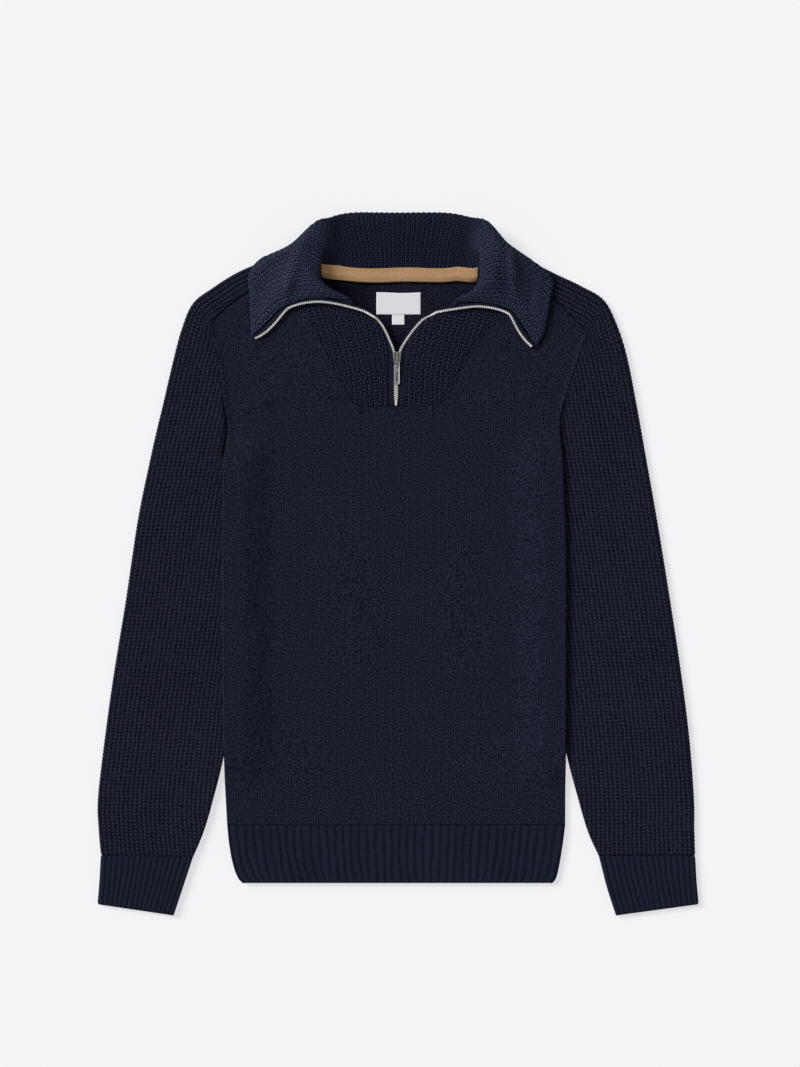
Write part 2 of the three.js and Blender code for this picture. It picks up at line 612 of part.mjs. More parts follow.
function box(w, l, h, x, y, z) {
  return new THREE.BoxGeometry(w, l, h).translate(x, y, z);
}
function plate(width, length, thick, z) {
  const r = width * 0.3;
  const w = width / 2;
  const l = length / 2;
  const outline = new THREE.Shape();
  outline.moveTo(-w * 0.8 + r, -l);
  outline.lineTo(w * 0.8 - r, -l);
  outline.quadraticCurveTo(w * 0.8, -l, w * 0.86, -l + r);
  outline.lineTo(w, l - r);
  outline.quadraticCurveTo(w, l, w - r, l);
  outline.lineTo(-w + r, l);
  outline.quadraticCurveTo(-w, l, -w, l - r);
  outline.lineTo(-w * 0.86, -l + r);
  outline.quadraticCurveTo(-w * 0.8, -l, -w * 0.8 + r, -l);
  return new THREE.ExtrudeGeometry(outline, { depth: thick, bevelEnabled: false, curveSegments: 5 }).translate(0, 0, z);
}

// Slider: two plates on a post, with an arch that holds the pull
const slope = Math.atan2(insetHeight(0, 240) - insetHeight(0, 226), 14);
const seat = TAPE / 2 + 0.35;
const top = seat + SLIDER.plate;
const slider = addPiece('slider', joined([
  plate(SLIDER.width, SLIDER.length, SLIDER.plate, seat),
  plate(SLIDER.width, SLIDER.length, 1.2, -seat - 1.2),
  box(2.6, SLIDER.length - 1.6, 2 * seat + 0.4, 0, 0, 0),
  box(SLIDER.arch, 1.2, 3.2, 0, -6.0, top + 1.4),
  box(SLIDER.arch, 1.2, 3.2, 0, 2.6, top + 1.4),
  box(SLIDER.arch, 9.8, 1.1, 0, -1.7, top + 3.0),
]), silver);
slider.position.set(SLIDER.x, SLIDER.y, insetHeight(0, SLIDER.y));
slider.rotation.x = slope;

// Pull: a bar under the arch, two arms and the tab, hanging down the zip
const pivot = new THREE.Vector3(0, PULL.y, top + 1.25).applyAxisAngle(new THREE.Vector3(1, 0, 0), slope)
  .add(slider.position);
const bar = new THREE.CylinderGeometry(PULL.bar, PULL.bar, 2 * PULL.spread, 12).rotateZ(Math.PI / 2);
const tab = new THREE.Shape();
const hw = PULL.width / 2;
tab.moveTo(-hw, -PULL.reach + 1.5);
tab.lineTo(-hw, -PULL.reach - PULL.length + 3.2);
tab.quadraticCurveTo(-hw, -PULL.reach - PULL.length + 0.8, 0, -PULL.reach - PULL.length + 0.8);
tab.quadraticCurveTo(hw, -PULL.reach - PULL.length + 0.8, hw, -PULL.reach - PULL.length + 3.2);
tab.lineTo(hw, -PULL.reach + 1.5);
tab.closePath();
const slot = new THREE.Path();
slot.moveTo(-1.3, -PULL.reach - 3.0);
slot.lineTo(1.3, -PULL.reach - 3.0);
slot.lineTo(1.3, -PULL.reach - PULL.length + 5.0);
slot.lineTo(-1.3, -PULL.reach - PULL.length + 5.0);
slot.closePath();
tab.holes.push(slot);
const tabShape = new THREE.ExtrudeGeometry(tab, { depth: 1.2, bevelEnabled: false, curveSegments: 6 })
  .translate(0, 0, -0.6);
const arms = [-1, 1].map((s) => box(PULL.arm, PULL.reach - 0.5, 1.2,
  s * (PULL.spread - PULL.arm / 2 + 0.4), -(PULL.reach - 0.5) / 2 - 0.1, 0));
const pull = addPiece('pull_tab', joined([bar, tabShape, ...arms]), silver);
pull.position.copy(pivot);
pull.rotation.x = THREE.MathUtils.degToRad(PULL.tilt);

export default sweater;
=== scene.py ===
"""Quarter zip sweater laid flat on a pale surface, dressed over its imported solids."""

import logging
import math
from collections.abc import Sequence
from dataclasses import dataclass, field
from enum import Enum

import bpy
import numpy as np
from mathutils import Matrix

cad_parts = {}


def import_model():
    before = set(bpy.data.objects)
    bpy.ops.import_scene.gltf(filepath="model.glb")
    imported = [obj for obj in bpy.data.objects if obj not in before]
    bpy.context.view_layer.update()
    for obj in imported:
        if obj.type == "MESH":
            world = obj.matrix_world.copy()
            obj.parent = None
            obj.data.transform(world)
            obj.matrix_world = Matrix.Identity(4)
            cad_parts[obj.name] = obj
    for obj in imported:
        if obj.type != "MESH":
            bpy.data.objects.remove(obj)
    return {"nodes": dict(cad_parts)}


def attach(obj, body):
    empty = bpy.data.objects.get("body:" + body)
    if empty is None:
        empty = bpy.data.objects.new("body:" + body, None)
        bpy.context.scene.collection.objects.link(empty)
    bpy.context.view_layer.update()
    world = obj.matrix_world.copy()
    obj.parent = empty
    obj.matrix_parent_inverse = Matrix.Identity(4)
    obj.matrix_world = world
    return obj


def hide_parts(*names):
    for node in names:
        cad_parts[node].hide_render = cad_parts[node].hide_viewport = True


log = logging.getLogger("sweater")

MM = 0.001
Array = np.ndarray
Socket = bpy.types.NodeSocket
Colour = Sequence[float]

# Thickness of each cloth, in mm
JERSEY = 2.4
WAFFLE = 3.0
INSET = 2.8
COLLAR = 3.0
RIB = 2.4
TAPE = 1.4
TRIM = 1.0

# Height of two layers as they lie, in mm
BODY_LAID = 5.8
SLEEVE_LAID = 7.0
RIB_LAID = 6.4

# Ribs on the face of the hem and of a cuff
HEM_RIBS = 41
CUFF_RIBS = 15

# Gaps and underlaps between pieces, in mm
SEAM = 0.12
SADDLE_GAP = 0.2
UNDERLAP = 1.3
UNDER_BODY = 9.0
INSET_CLEAR = 0.1
LOWEST = 0.02

# Rise of the upper layer round the neck, and where it sets in: y, and distance from the middle
NECK_RISE = 6.0
NECK_RISE_Y = (158, 290)
NECK_RISE_X = (80, 190)

# Lift of the body's sides on the sleeves, and where it sets in: y at its foot and top, distance from the side
SIDE_LIFT = 7.7
SIDE_LIFT_FOOT = (-264, -207)
SIDE_LIFT_TOP = (105, 158)
SIDE_LIFT_DEPTH = (20, 62)

# Foot and top of the body below the notch, and the span over which the side fold opens into the armhole
BODY_LOW = -294.6
BODY_HIGH = 178.0
UNDERARM = (112, 150)

# Where a folded edge starts, in degrees from its middle
FOLD_START = 23.6

# Share of a wall's half and of its tone that is left at a border, where the lower tone is painted shade along
# the rounded edge, and the tone of the inner side
BORDER_OUTER = 0.5
BORDER_INNER = 0.8
BORDER_TONE = 0.78
INNER_TONE = 0.6

# Distance from a border over which creases set in, and the share of them that the back has
CREASE_BORDER = (4, 26)
BACK_CREASE = 0.25

# Height of the back panel's corner beside the neck, and depth of the neck line between the corners, in mm
BACK_NECK_POINT = 5.0
BACK_NECK_DIP = 2.2

# Sections by which the collar's cloth and the zip tape's inner edge stand back from the zip's teeth
COLLAR_END = 0.86
COLLAR_TAPE = 0.84

# Body side seams: y, left, right
BODY_SIDE = np.array([
    [-294.6, -192.8, 188.7],
    [-249.4, -195.3, 188.9],
    [-199.7, -196.6, 189.4],
    [-100.2, -198.5, 189.8],
    [0.3, -198.9, 189.8],
    [60.2, -198.2, 188.1],
    [109.9, -197.3, 186.4],
    [140.0, -194.2, 184.4],
    [152.0, -192.8, 183.2],
    [165.0, -193.9, 184.2],
    [178.0, -196.3, 187.0],
])

# Hem band: share of the depth, left, right, y
HEM_SIDE = np.array([
    [0.0, -192.8, 188.7, -294.8],
    [0.28, -191.0, 186.4, -313.8],
    [0.56, -188.1, 183.6, -331.9],
    [0.78, -184.2, 180.8, -346.6],
    [0.94, -179.6, 178.0, -356.6],
    [1.0, -175.1, 174.0, -360.2],
])

# Sides of the notch in the front, from its bottom corners to the neck
NOTCH = {
    "left": np.array([[-42.6, 178.0], [-50.0, 181.4], [-58.2, 194.1], [-69.4, 216.4], [-80.2, 238.2],
                      [-91.5, 261.4], [-102.8, 286.2], [-110.0, 337.0]]),
    "right": np.array([[36.8, 178.0], [45.0, 181.8], [54.8, 194.1], [67.8, 216.4], [79.1, 238.2],
                       [94.9, 261.4], [109.6, 286.2], [110.0, 337.0]]),
}

# Sides of the same block in the back, which run on below the neck line
BACK_NECK = {
    "left": np.array([[-47.5, 178.0], [-47.5, 230.0], [-54.0, 290.0], [-60.0, 331.5]]),
    "right": np.array([[41.8, 178.0], [41.8, 230.0], [52.0, 290.0], [60.0, 331.5]]),
}

# Sleeves: inner x, inner y, outer x, outer y, closed underarm
SLEEVE = {
    "left": np.array([
        [-109.5, 338.5, -106.5, 354.5, 0],
        [-138.0, 325.0, -143.0, 344.0, 0],
        [-171.4, 306.5, -179.7, 329.2, 0],
        [-195.0, 289.5, -209.0, 311.1, 0],
        [-211.8, 268.0, -231.1, 293.6, 0],
        [-207.2, 249.5, -243.5, 264.5, 0],
        [-202.3, 228.6, -252.6, 230.6, 0],
        [-196.3, 178.0, -264.4, 180.0, 0],
        [-193.9, 152.0, -271.2, 152.0, 0],
        [-200.9, 115.6, -279.1, 116.7, 1],
        [-183.1, 50.1, -292.7, 50.1, 1],
        [-180.8, -40.3, -306.2, -40.3, 1],
        [-185.3, -130.7, -320.9, -130.7, 1],
        [-196.6, -212.1, -331.7, -209.8, 1],
        [-210.2, -268.6, -337.9, -266.3, 1],
        [-220.3, -302.5, -337.1, -298.0, 1],
        [-232.2, -331.2, -334.5, -328.4, 1],
    ]),
    "right": np.array([
        [109.5, 338.5, 106.5, 354.5, 0],
        [140.0, 323.0, 143.5, 343.0, 0],
        [175.5, 301.0, 181.4, 325.2, 0],
        [197.5, 280.0, 206.8, 313.1, 0],
        [213.4, 260.5, 232.2, 297.0, 0],
        [208.0, 244.5, 248.0, 265.6, 0],
        [203.6, 228.6, 258.5, 230.6, 0],
        [187.0, 178.0, 268.4, 180.0, 0],
        [184.4, 152.0, 273.5, 152.0, 0],
        [191.5, 115.6, 279.7, 116.7, 1],
        [175.1, 50.1, 291.5, 50.1, 1],
        [172.9, -40.3, 306.2, -40.3, 1],
        [177.4, -130.7, 319.8, -130.7, 1],
        [188.7, -204.2, 328.5, -201.9, 1],
        [204.5, -266.3, 333.3, -266.3, 1],
        [215.3, -302.5, 333.6, -298.0, 1],
        [227.1, -329.0, 334.5, -329.5, 1],
    ]),
}
# Places between the sleeve's rows at which its inner edge is read
SLEEVE_STEPS = np.array([0, 1, 2, 3, 3.5, 4, 4.5, 5, 5.5, 6, 6.5, 7, 8, 8.5, 9, 9.5,
                         10, 11, 12, 13, 14, 15, 16])

# Cuffs, with the same columns
CUFF = {
    "left": np.array([
        [-232.4, -331.6, -334.5, -328.8, 1],
        [-243.6, -365.6, -336.2, -359.0, 1],
        [-254.0, -396.9, -338.3, -384.4, 1],
    ]),
    "right": np.array([
        [227.3, -329.4, 334.5, -329.9, 1],
        [236.7, -365.8, 336.2, -359.0, 1],
        [246.7, -396.9, 338.5, -384.4, 1],
    ]),
}

# Collar sections from one zip edge round the back of the neck to the other:
# seam x y z, roll x y z, crest x y z, fall x y z, edge x y z, lies on the front
COLLAR_ROWS = np.array([
    [-25.4, 278.9, 12.8, -45.5, 288.4, 15.6, -90.4, 296.6, 17.2, -129.2, 286.7, 14, -163, 255, 9.9, 1],
    [-27.2, 281.9, 12.8, -46.2, 292, 15.9, -90.6, 300.4, 17.8, -131.6, 289.6, 14.1, -165.2, 257.6, 9.9, 1],
    [-50.5, 292.6, 12.8, -60.5, 301.5, 18.5, -88.1, 308.3, 22, -133.3, 303.2, 16, -165.9, 273.8, 10, 1],
    [-71.2, 299.8, 12.8, -76.8, 308.8, 19.5, -101.7, 322.4, 25, -142.4, 312.2, 16, -166.7, 291.9, 10.3, 1],
    [-93.8, 314.5, 12.8, -88.7, 322.4, 20.5, -107.4, 341.6, 27, -139, 334.8, 18, -168, 308.8, 11, 1],
    [-105, 332.6, 12.9, -87.6, 341.6, 21.5, -106.2, 356.3, 28, -141.3, 345, 20, -168.4, 325.8, 12, 1],
    [-103, 341.6, 12.9, -83.6, 356.3, 20.5, -100.6, 369.8, 26, -126.6, 355, 18, -153.7, 344.5, 12.5, 1],
    [-85.9, 330.3, 7.4, -75.7, 363.1, 15.5, -85.9, 387, 19, -104, 370.4, 14, -110.7, 355.2, 9, 0.3],
    [-54.2, 325.3, 5.2, -56.5, 355.2, 10.6, -61, 385.6, 12.8, -64.4, 392.8, 8.2, -67.8, 361.9, 2.8, 0],
    [0, 324.6, 4.8, 0, 355.2, 9.4, 0, 387.4, 12, 0, 393.9, 7.2, 0, 360.8, 2.3, 0],
    [56.5, 325.3, 5.2, 58.8, 355.2, 10.6, 63.3, 385.6, 12.8, 66.7, 392.8, 8.2, 70.1, 361.9, 2.8, 0],
    [88.1, 330.3, 7.4, 80.2, 363.1, 15.5, 95, 387, 19, 108.5, 372.1, 14, 119.8, 358.5, 9, 0.3],
    [104, 340.5, 12.9, 91, 355.2, 20.5, 108.5, 366.5, 26, 134.5, 349.5, 18, 161.6, 334.3, 12.5, 1],
    [106, 330.3, 12.9, 93.2, 339.3, 21.5, 110.7, 354, 28, 145.8, 340.5, 20, 174.6, 320.1, 12, 1],
    [97.2, 312.2, 12.8, 92.1, 320.1, 20.5, 110.7, 337.1, 27, 143.5, 326.9, 18, 171.2, 297.5, 11, 1],
    [79.1, 298.7, 12.8, 84.8, 307.1, 19.5, 104, 317.9, 25, 142.4, 312.2, 16, 167.8, 276.1, 10.3, 1],
    [62.5, 291.6, 12.8, 70.1, 299.8, 18.5, 93.8, 303.2, 22, 134.5, 299.8, 16, 163.3, 259.1, 10, 1],
    [45, 287.5, 12.8, 61.6, 291.5, 15.9, 96.4, 294.8, 17.8, 132.2, 282.8, 14.1, 156, 247.3, 9.9, 1],
    [42, 284.4, 12.8, 61, 288, 15.6, 96.1, 291, 17.2, 129.7, 279.9, 14, 153.2, 244.8, 9.9, 1],
])
LAST = len(COLLAR_ROWS) - 1

# Zip below the neck seam: tooth x, tooth y, cloth x, cloth y
ZIP_LOWER = {
    "left": np.array([
        [-3.8, 178.7, -10.6, 178.7],
        [-3.8, 205.0, -10.6, 205.0],
        [-3.8, 227.5, -10.6, 227.5],
        [-5.6, 241.0, -10.4, 241.4],
        [-11.3, 255.7, -14.7, 256.5],
        [-17.4, 268.5, -20.3, 270.1],
        [-22.6, 275.8, -24.9, 278.0],
    ]),
    "right": np.array([
        [1.6, 178.7, 8.2, 178.7],
        [1.6, 205.0, 8.2, 205.0],
        [1.6, 227.5, 8.2, 227.5],
        [3.2, 241.0, 7.8, 241.3],
        [12.9, 258.0, 16.1, 259.4],
        [25.9, 274.0, 28.3, 275.7],
        [38.8, 281.9, 41.0, 284.3],
    ]),
}

# Neck edge of the insets between the notch and the zip: x, y
INSET_TOP = {
    "left": np.array([[-104.5, 327.0], [-92.0, 311.0], [-69.5, 296.0], [-45.0, 285.5]]),
    "right": np.array([[105.0, 325.0], [95.5, 309.0], [77.5, 295.0], [60.0, 286.8]]),
}

# Creases: x0, y0, x1, y1, half width, height
CREASES = np.array([
    [-186.0, 168.0, -120.0, 214.0, 9.0, 0.9],
    [-184.0, 140.0, -132.0, 120.0, 10.0, 0.8],
    [176.0, 172.0, 118.0, 220.0, 9.0, 1.0],
    [174.0, 138.0, 126.0, 110.0, 10.0, 0.7],
    [-60.0, 60.0, -20.0, -120.0, 26.0, 0.7],
    [70.0, 40.0, 96.0, -150.0, 24.0, 0.7],
    [-140.0, -190.0, -60.0, -250.0, 18.0, 0.6],
    [30.0, -230.0, 140.0, -190.0, 18.0, -0.5],
])
SLEEVE_CREASES = np.array([
    [-214.0, 170.0, -250.0, 120.0, 8.0, 0.7],
    [-228.0, 40.0, -290.0, -10.0, 12.0, 0.6],
    [-215.0, -120.0, -300.0, -160.0, 12.0, -0.5],
    [-232.0, -240.0, -300.0, -280.0, 10.0, 0.7],
    [212.0, 160.0, 250.0, 112.0, 8.0, 0.7],
    [214.0, 10.0, 282.0, -40.0, 12.0, 0.6],
    [206.0, -110.0, 300.0, -150.0, 12.0, -0.5],
    [226.0, -246.0, 300.0, -278.0, 10.0, 0.7],
])
COLLAR_CREASES = np.array([
    [-103.0, 368.0, -114.0, 338.0, 5.0, 1.6],
    [-112.0, 345.0, -126.0, 292.0, 6.5, 3.2],
    [-122.0, 318.0, -150.0, 278.0, 7.0, 1.6],
    [-143.0, 330.0, -158.0, 285.0, 7.0, -1.2],
    [126.0, 358.0, 138.0, 318.0, 4.0, 2.6],
    [128.0, 350.0, 137.0, 296.0, 5.0, 2.6],
    [108.0, 352.0, 112.0, 305.0, 7.0, 1.2],
    [152.0, 325.0, 152.0, 275.0, 6.0, -1.2],
])

# Woven patches on the back panel: name, left, right, foot, top
PATCHES = (("label", -24.4, 25.8, 282.4, 307.2), ("size_tab", -6.8, 7.3, 270.9, 282.1))

# How bright the metal mirrors the room across its width: x in mm, share
SLIDER_BANDS = ((-5.6, 1.0), (-4.6, 0.9), (-3.7, 0.22), (-2.3, 0.75), (-0.6, 0.9), (0.7, 0.25), (1.6, 0.8),
                (3.4, 0.7))
PULL_BANDS = ((-4.1, 0.62), (-3.4, 0.42), (-2.6, 0.38), (-1.0, 0.40), (-0.3, 0.30), (0.1, 0.12), (0.6, 0.8),
              (1.0, 1.0), (2.0, 0.95))


class Knit(Enum):
    """Patterns of the knitted cloth."""

    PLAIN = "plain"
    WAFFLE = "waffle"
    CHAIN = "chain"
    RIB = "rib"


def smooth(a: float, b: float, x: Array | float) -> Array:
    """Step from 0 at a to 1 at b with soft ends."""
    t = np.clip((np.asarray(x, float) - a) / (b - a), 0, 1)
    return t * t * (3 - 2 * t)


def mix(a: Array | float, b: Array | float, t: Array | float) -> Array:
    """Value a share t of the way from a to b."""
    return a + (b - a) * t


def wave(turns: Array) -> Array:
    """Wave from 0 to 1 with a crest at each whole turn."""
    return 0.5 + 0.5 * np.cos(2 * np.pi * turns)


def bell(x: Array, centre: float, width: Array | float) -> Array:
    """Bell curve of height 1."""
    return np.exp(-((x - centre) / width) ** 2)


def unit(vectors: Array) -> Array:
    """Vectors with their length brought to 1."""
    return vectors / np.maximum(np.linalg.norm(vectors, axis=-1, keepdims=True), 1e-9)


def run_length(line: Array) -> Array:
    """Length run along a line of points up to each of them."""
    return np.concatenate([[0], np.cumsum(np.linalg.norm(np.diff(line, axis=0), axis=1))])


def read_along(table: Array, run: Array, at: Array) -> Array:
    """Read a table, known at the lengths in run, at other lengths."""
    return np.stack([np.interp(at, run, column) for column in table.T], -1)


def fold_angles(steps: int) -> Array:
    """Angles round a folded edge from its middle, without the one where the flat cloth begins."""
    return np.radians(np.linspace(FOLD_START, 90, steps + 1))[:-1]


def blend(p0: Array, p1: Array, p2: Array, p3: Array, f: Array) -> Array:
    """Place a share f of the way from p1 to p2 on a Catmull-Rom curve."""
    a, b = 0.5 * (p2 - p0), 0.5 * (p3 - p1)
    return (p1 * (2 * f**3 - 3 * f**2 + 1) + a * (f**3 - 2 * f**2 + f)
            + p2 * (3 * f**2 - 2 * f**3) + b * (f**3 - f**2))


def spline(rows: Array, t: Array | float) -> Array:
    """Read a Catmull-Rom curve through rows of numbers.

    Args:
        rows: Table of shape (n, k).
        t: Positions from 0 to n - 1.

    Returns:
        Values of shape t.shape + (k,).
    """
    t = np.asarray(t, float)
    k = np.clip(np.floor(t), 0, len(rows) - 2).astype(int)
    ends = np.concatenate([[2 * rows[0] - rows[1]], rows, [2 * rows[-1] - rows[-2]]])
    return blend(ends[k], ends[k + 1], ends[k + 2], ends[k + 3], (t - k)[..., None])


def curve(rows: Array, v: Array | float) -> Array:
    """Read a curve through rows with v from 0 to 1."""
    return spline(rows, np.asarray(v, float) * (len(rows) - 1))


def rise(x: Array, y: Array) -> Array:
    """Height of the upper layer round the open neck."""
    return NECK_RISE * smooth(*NECK_RISE_Y, y) * (1 - smooth(*NECK_RISE_X, np.abs(x)))


def lift(x: Array, y: Array) -> Array:
    """Lift of both body layers where the sides lie on the sleeves."""
    yy = np.clip(y, BODY_LOW, BODY_HIGH)
    left, right = (np.interp(yy, BODY_SIDE[:, 0], BODY_SIDE[:, k]) for k in (1, 2))
    depth = np.minimum(x - left, right - x)
    along = (1 - smooth(*SIDE_LIFT_TOP, y)) * smooth(*SIDE_LIFT_FOOT, y)
    return SIDE_LIFT * along * (1 - smooth(*SIDE_LIFT_DEPTH, depth))


def layer(share: Array, x: Array, y: Array, laid: float, wall: float) -> Array:
    """Middle of a wall: share 0 on the table, 1 on top."""
    return wall / 2 + share * (laid - wall + rise(x, y))


def creases(table: Array, x: Array, y: Array) -> Array:
    """Height of the listed creases.

    Args:
        table: Rows of x0, y0, x1, y1, half width, height.
        x: Places across.
        y: Places along.

    Returns:
        Height in mm, fading at both ends of each slightly bent crease.
    """
    total = np.zeros_like(x, dtype=float)
    for x0, y0, x1, y1, width, height in table:
        dx, dy = x1 - x0, y1 - y0
        length = math.hypot(dx, dy)
        along = ((x - x0) * dx + (y - y0) * dy) / length
        off = ((x - x0) * -dy + (y - y0) * dx) / length
        off = off + 0.06 * length * np.sin(along / length * 2.6)
        ends = smooth(-0.15 * length, 0.35 * length, along) * (1 - smooth(0.6 * length, 1.2 * length, along))
        total += height * bell(off, 0, width) * ends
    return total


def inset_height(x: Array, y: Array) -> Array:
    """Middle of the waffle inset and the zip tape."""
    return BODY_LAID - JERSEY / 2 + (INSET - JERSEY) / 2 + INSET_CLEAR + rise(x, y)


def inner_edge(side: str, step: Array | float) -> Array:
    """Inner edge of a sleeve: armhole from row 7 up to 4, saddle seam from 4 to 0."""
    return read_along(spline(SLEEVE[side], SLEEVE_STEPS)[:, :2], SLEEVE_STEPS, step)


def coons(outer: Array, inner: Array, top: Array, u: Array) -> Array:
    """Fill a patch between two side lines and a top line.

    Args:
        outer: Side line at u 0, shape (nv, 2).
        inner: Side line at u 1, shape (nv, 2).
        top: Top line, shape (nu, 2).
        u: Shares across, shape (nu,).

    Returns:
        Points of shape (nu, nv, 2).
    """
    uu = u[:, None, None]
    v = np.linspace(0, 1, len(outer))[None, :, None]
    base = mix(outer[0], inner[0], u[:, None])
    return (mix(outer[None], inner[None], uu) + mix(base[:, None], top[:, None], v)
            - mix(base[:, None], mix(top[0], top[-1], u[:, None])[:, None], v))


def pattern(kind: Knit, p: Array, q: Array) -> Array:
    """Relief of a waffle, chain or rib from 0 in its pits to 1 on its ridges.

    Args:
        kind: Which knit.
        p: Count of wales.
        q: Count of courses, which a rib doesn't show.

    Returns:
        Relief, same shape as p and q together.
    """
    if kind is Knit.WAFFLE:
        wale, course = wave(p), wave(q + 0.14 * np.sin(2 * np.pi * p))
        return 0.9 * wale * course + 0.05 * wale + 0.05 * course
    if kind is Knit.CHAIN:
        wale, course = wave(p + 0.15 * np.cos(np.pi * q)), wave(q)
        return wale**0.8 * (0.62 + 0.38 * course)
    return np.abs(np.cos(np.pi * p)) ** 0.7


def grid_normals(grid: Array, flip: bool) -> Array:
    """Unit normals of a grid of points, shape (nu, nv, 3)."""
    n = unit(np.cross(np.gradient(grid, axis=0), np.gradient(grid, axis=1)))
    return -n if flip else n


def edge_distance(grid: Array) -> Array:
    """Distance from each grid point to the nearest of the four borders, in mm."""
    def run(axis: int) -> Array:
        """Distance to the nearer end along one axis."""
        step = np.linalg.norm(np.diff(grid, axis=axis), axis=-1)
        zero = np.zeros_like(np.take(step, [0], axis=axis))
        ahead = np.concatenate([zero, np.cumsum(step, axis=axis)], axis=axis)
        return np.minimum(ahead, np.take(ahead, [-1], axis=axis) - ahead)
    return np.minimum(run(0), run(1))


def stitches(p: Array, q: Array, light: Array | float = 1.0) -> Array:
    """Stack wale count, course count and lightness, which carries painted light and shade."""
    return np.stack(np.broadcast_arrays(p, q, light), -1)


def place_object(name: str, data: bpy.types.ID) -> bpy.types.Object:
    """Make an object and link it to the scene."""
    obj = bpy.data.objects.new(name, data)
    bpy.context.scene.collection.objects.link(obj)
    return obj


def applied_mesh(obj: bpy.types.Object) -> bpy.types.Mesh:
    """Mesh of an object with its modifiers applied."""
    graph = bpy.context.evaluated_depsgraph_get()
    return bpy.data.meshes.new_from_object(obj.evaluated_get(graph))


@dataclass
class Cloth:
    """A knitted wall made round a grid of mid-surface points in mm.

    Attributes:
        name: CAD node that it stands for.
        grid: Mid-surface points, shape (nu, nv, 3).
        wall: Thickness.
        flip: Whether the outer side is the other one.
        relief: Height of the knit on the outer side.
        tone: The same relief for the shader, 0 in a pit and 1 on a ridge, which the knit shader turns into
            painted shade in the pits.
        keep: Cells that are cloth, where some are left open.
        coarse: Grid steps between the points of the inner side.
        soft_edge: Width of the rounded border.
        floor: Lowest height of any point.
        stitch: Wale count, course count and lightness of the outer side; the lightness carries painted light
            and shade.
        inside: Lightness of the inner side, which carries painted shade.
    """

    name: str
    grid: Array
    wall: float
    flip: bool = False
    relief: Array | float = 0.0
    tone: Array | float = 1.0
    keep: Array | None = None
    coarse: tuple[int, int] = (1, 1)
    soft_edge: float = 1.6
    floor: float = 0.0
    stitch: Array | float = 1.0
    inside: Array | float = 1.0

    def build(self) -> bpy.types.Object:
        """Make the closed mesh object.

        Returns:
            The object, linked to the scene, with its relief and stitches stored as attributes.
        """
        nu, nv = self.grid.shape[:2]
        n = grid_normals(self.grid, self.flip)
        far = smooth(0, self.soft_edge, edge_distance(self.grid))
        outer = self.grid + n * (self.wall / 2 * mix(BORDER_OUTER, 1, far) + self.relief * far)[..., None]
        inner = self.grid - n * (self.wall / 2 * mix(BORDER_INNER, 1, far))[..., None]
        stitch = np.broadcast_to(self.stitch, (nu, nv, 3))
        within = stitch.copy()
        within[..., 2] *= self.inside
        if self.coarse == (1, 1):
            faces = self._faces(nu, nv)
        else:
            cu, cv = self.coarse
            inner, within = inner[::cu, ::cv], within[::cu, ::cv]
            faces = self._coarse_faces(nu, nv, cu, cv)
        if self.flip:
            faces = [tuple(reversed(face)) for face in faces]
        points = np.concatenate([outer.reshape(-1, 3), inner.reshape(-1, 3)])
        points[:, 2] = np.maximum(points[:, 2], self.floor)
        # Painted shade: the tone is lowered towards the rounded border.
        tone = self.tone * mix(BORDER_TONE, 1, far)
        tones = np.concatenate([tone.ravel(), np.full(inner.shape[0] * inner.shape[1], INNER_TONE)])
        knit = np.concatenate([stitch.reshape(-1, 3), within.reshape(-1, 3)])
        mesh = bpy.data.meshes.new(f"{self.name}_cloth")
        mesh.from_pydata((points * MM).tolist(), [], faces)
        mesh.attributes.new("relief", "FLOAT", "POINT").data.foreach_set("value", tones.astype(np.float32))
        data = mesh.attributes.new("stitch", "FLOAT_VECTOR", "POINT").data
        data.foreach_set("vector", knit.astype(np.float32).ravel())
        mesh.shade_smooth()
        mesh.update()
        return place_object(mesh.name, mesh)

    def _faces(self, nu: int, nv: int) -> list[tuple[int, ...]]:
        """Faces of a wall whose two sides have the same grid."""
        count = nu * nv
        keep = np.ones((nu - 1, nv - 1), bool) if self.keep is None else self.keep
        i, j = np.nonzero(keep)
        a = i * nv + j
        b, c, d = a + nv, a + nv + 1, a + 1
        faces = np.stack([a, b, c, d], 1).tolist()
        faces += np.stack([a + count, d + count, c + count, b + count], 1).tolist()
        padded = np.zeros((nu + 1, nv + 1), bool)
        padded[1:-1, 1:-1] = keep
        for p, q, di, dj in ((a, b, 0, -1), (b, c, 1, 0), (c, d, 0, 1), (d, a, -1, 0)):
            edge = ~padded[i + 1 + di, j + 1 + dj]
            pe, qe = p[edge], q[edge]
            faces += np.stack([qe, pe, pe + count, qe + count], 1).tolist()
        return faces

    @staticmethod
    def _coarse_faces(nu: int, nv: int, cu: int, cv: int) -> list[tuple[int, ...]]:
        """Faces of a wall whose inner side has a coarser grid."""
        count = nu * nv
        mu, mv = (nu - 1) // cu + 1, (nv - 1) // cv + 1
        i, j = np.meshgrid(np.arange(nu - 1), np.arange(nv - 1), indexing="ij")
        a = (i * nv + j).ravel()
        faces = np.stack([a, a + nv, a + nv + 1, a + 1], 1).tolist()
        i, j = np.meshgrid(np.arange(mu - 1), np.arange(mv - 1), indexing="ij")
        a = count + (i * mv + j).ravel()
        faces += np.stack([a, a + 1, a + mv + 1, a + mv], 1).tolist()
        fine = np.arange(nu * nv).reshape(nu, nv)
        rough = count + np.arange(mu * mv).reshape(mu, mv)
        sides = [
            (fine[:, 0], rough[:, 0], cu),
            (fine[-1], rough[-1], cv),
            (fine[::-1, -1], rough[::-1, -1], cu),
            (fine[0, ::-1], rough[0, ::-1], cv),
        ]
        for near, away, factor in sides:
            f, r = near.tolist(), away.tolist()
            for m in range(len(r) - 1):
                for k in range(m * factor, (m + 1) * factor):
                    faces.append((f[k + 1], f[k], r[m]))
                faces.append((f[(m + 1) * factor], r[m], r[m + 1]))
        return faces


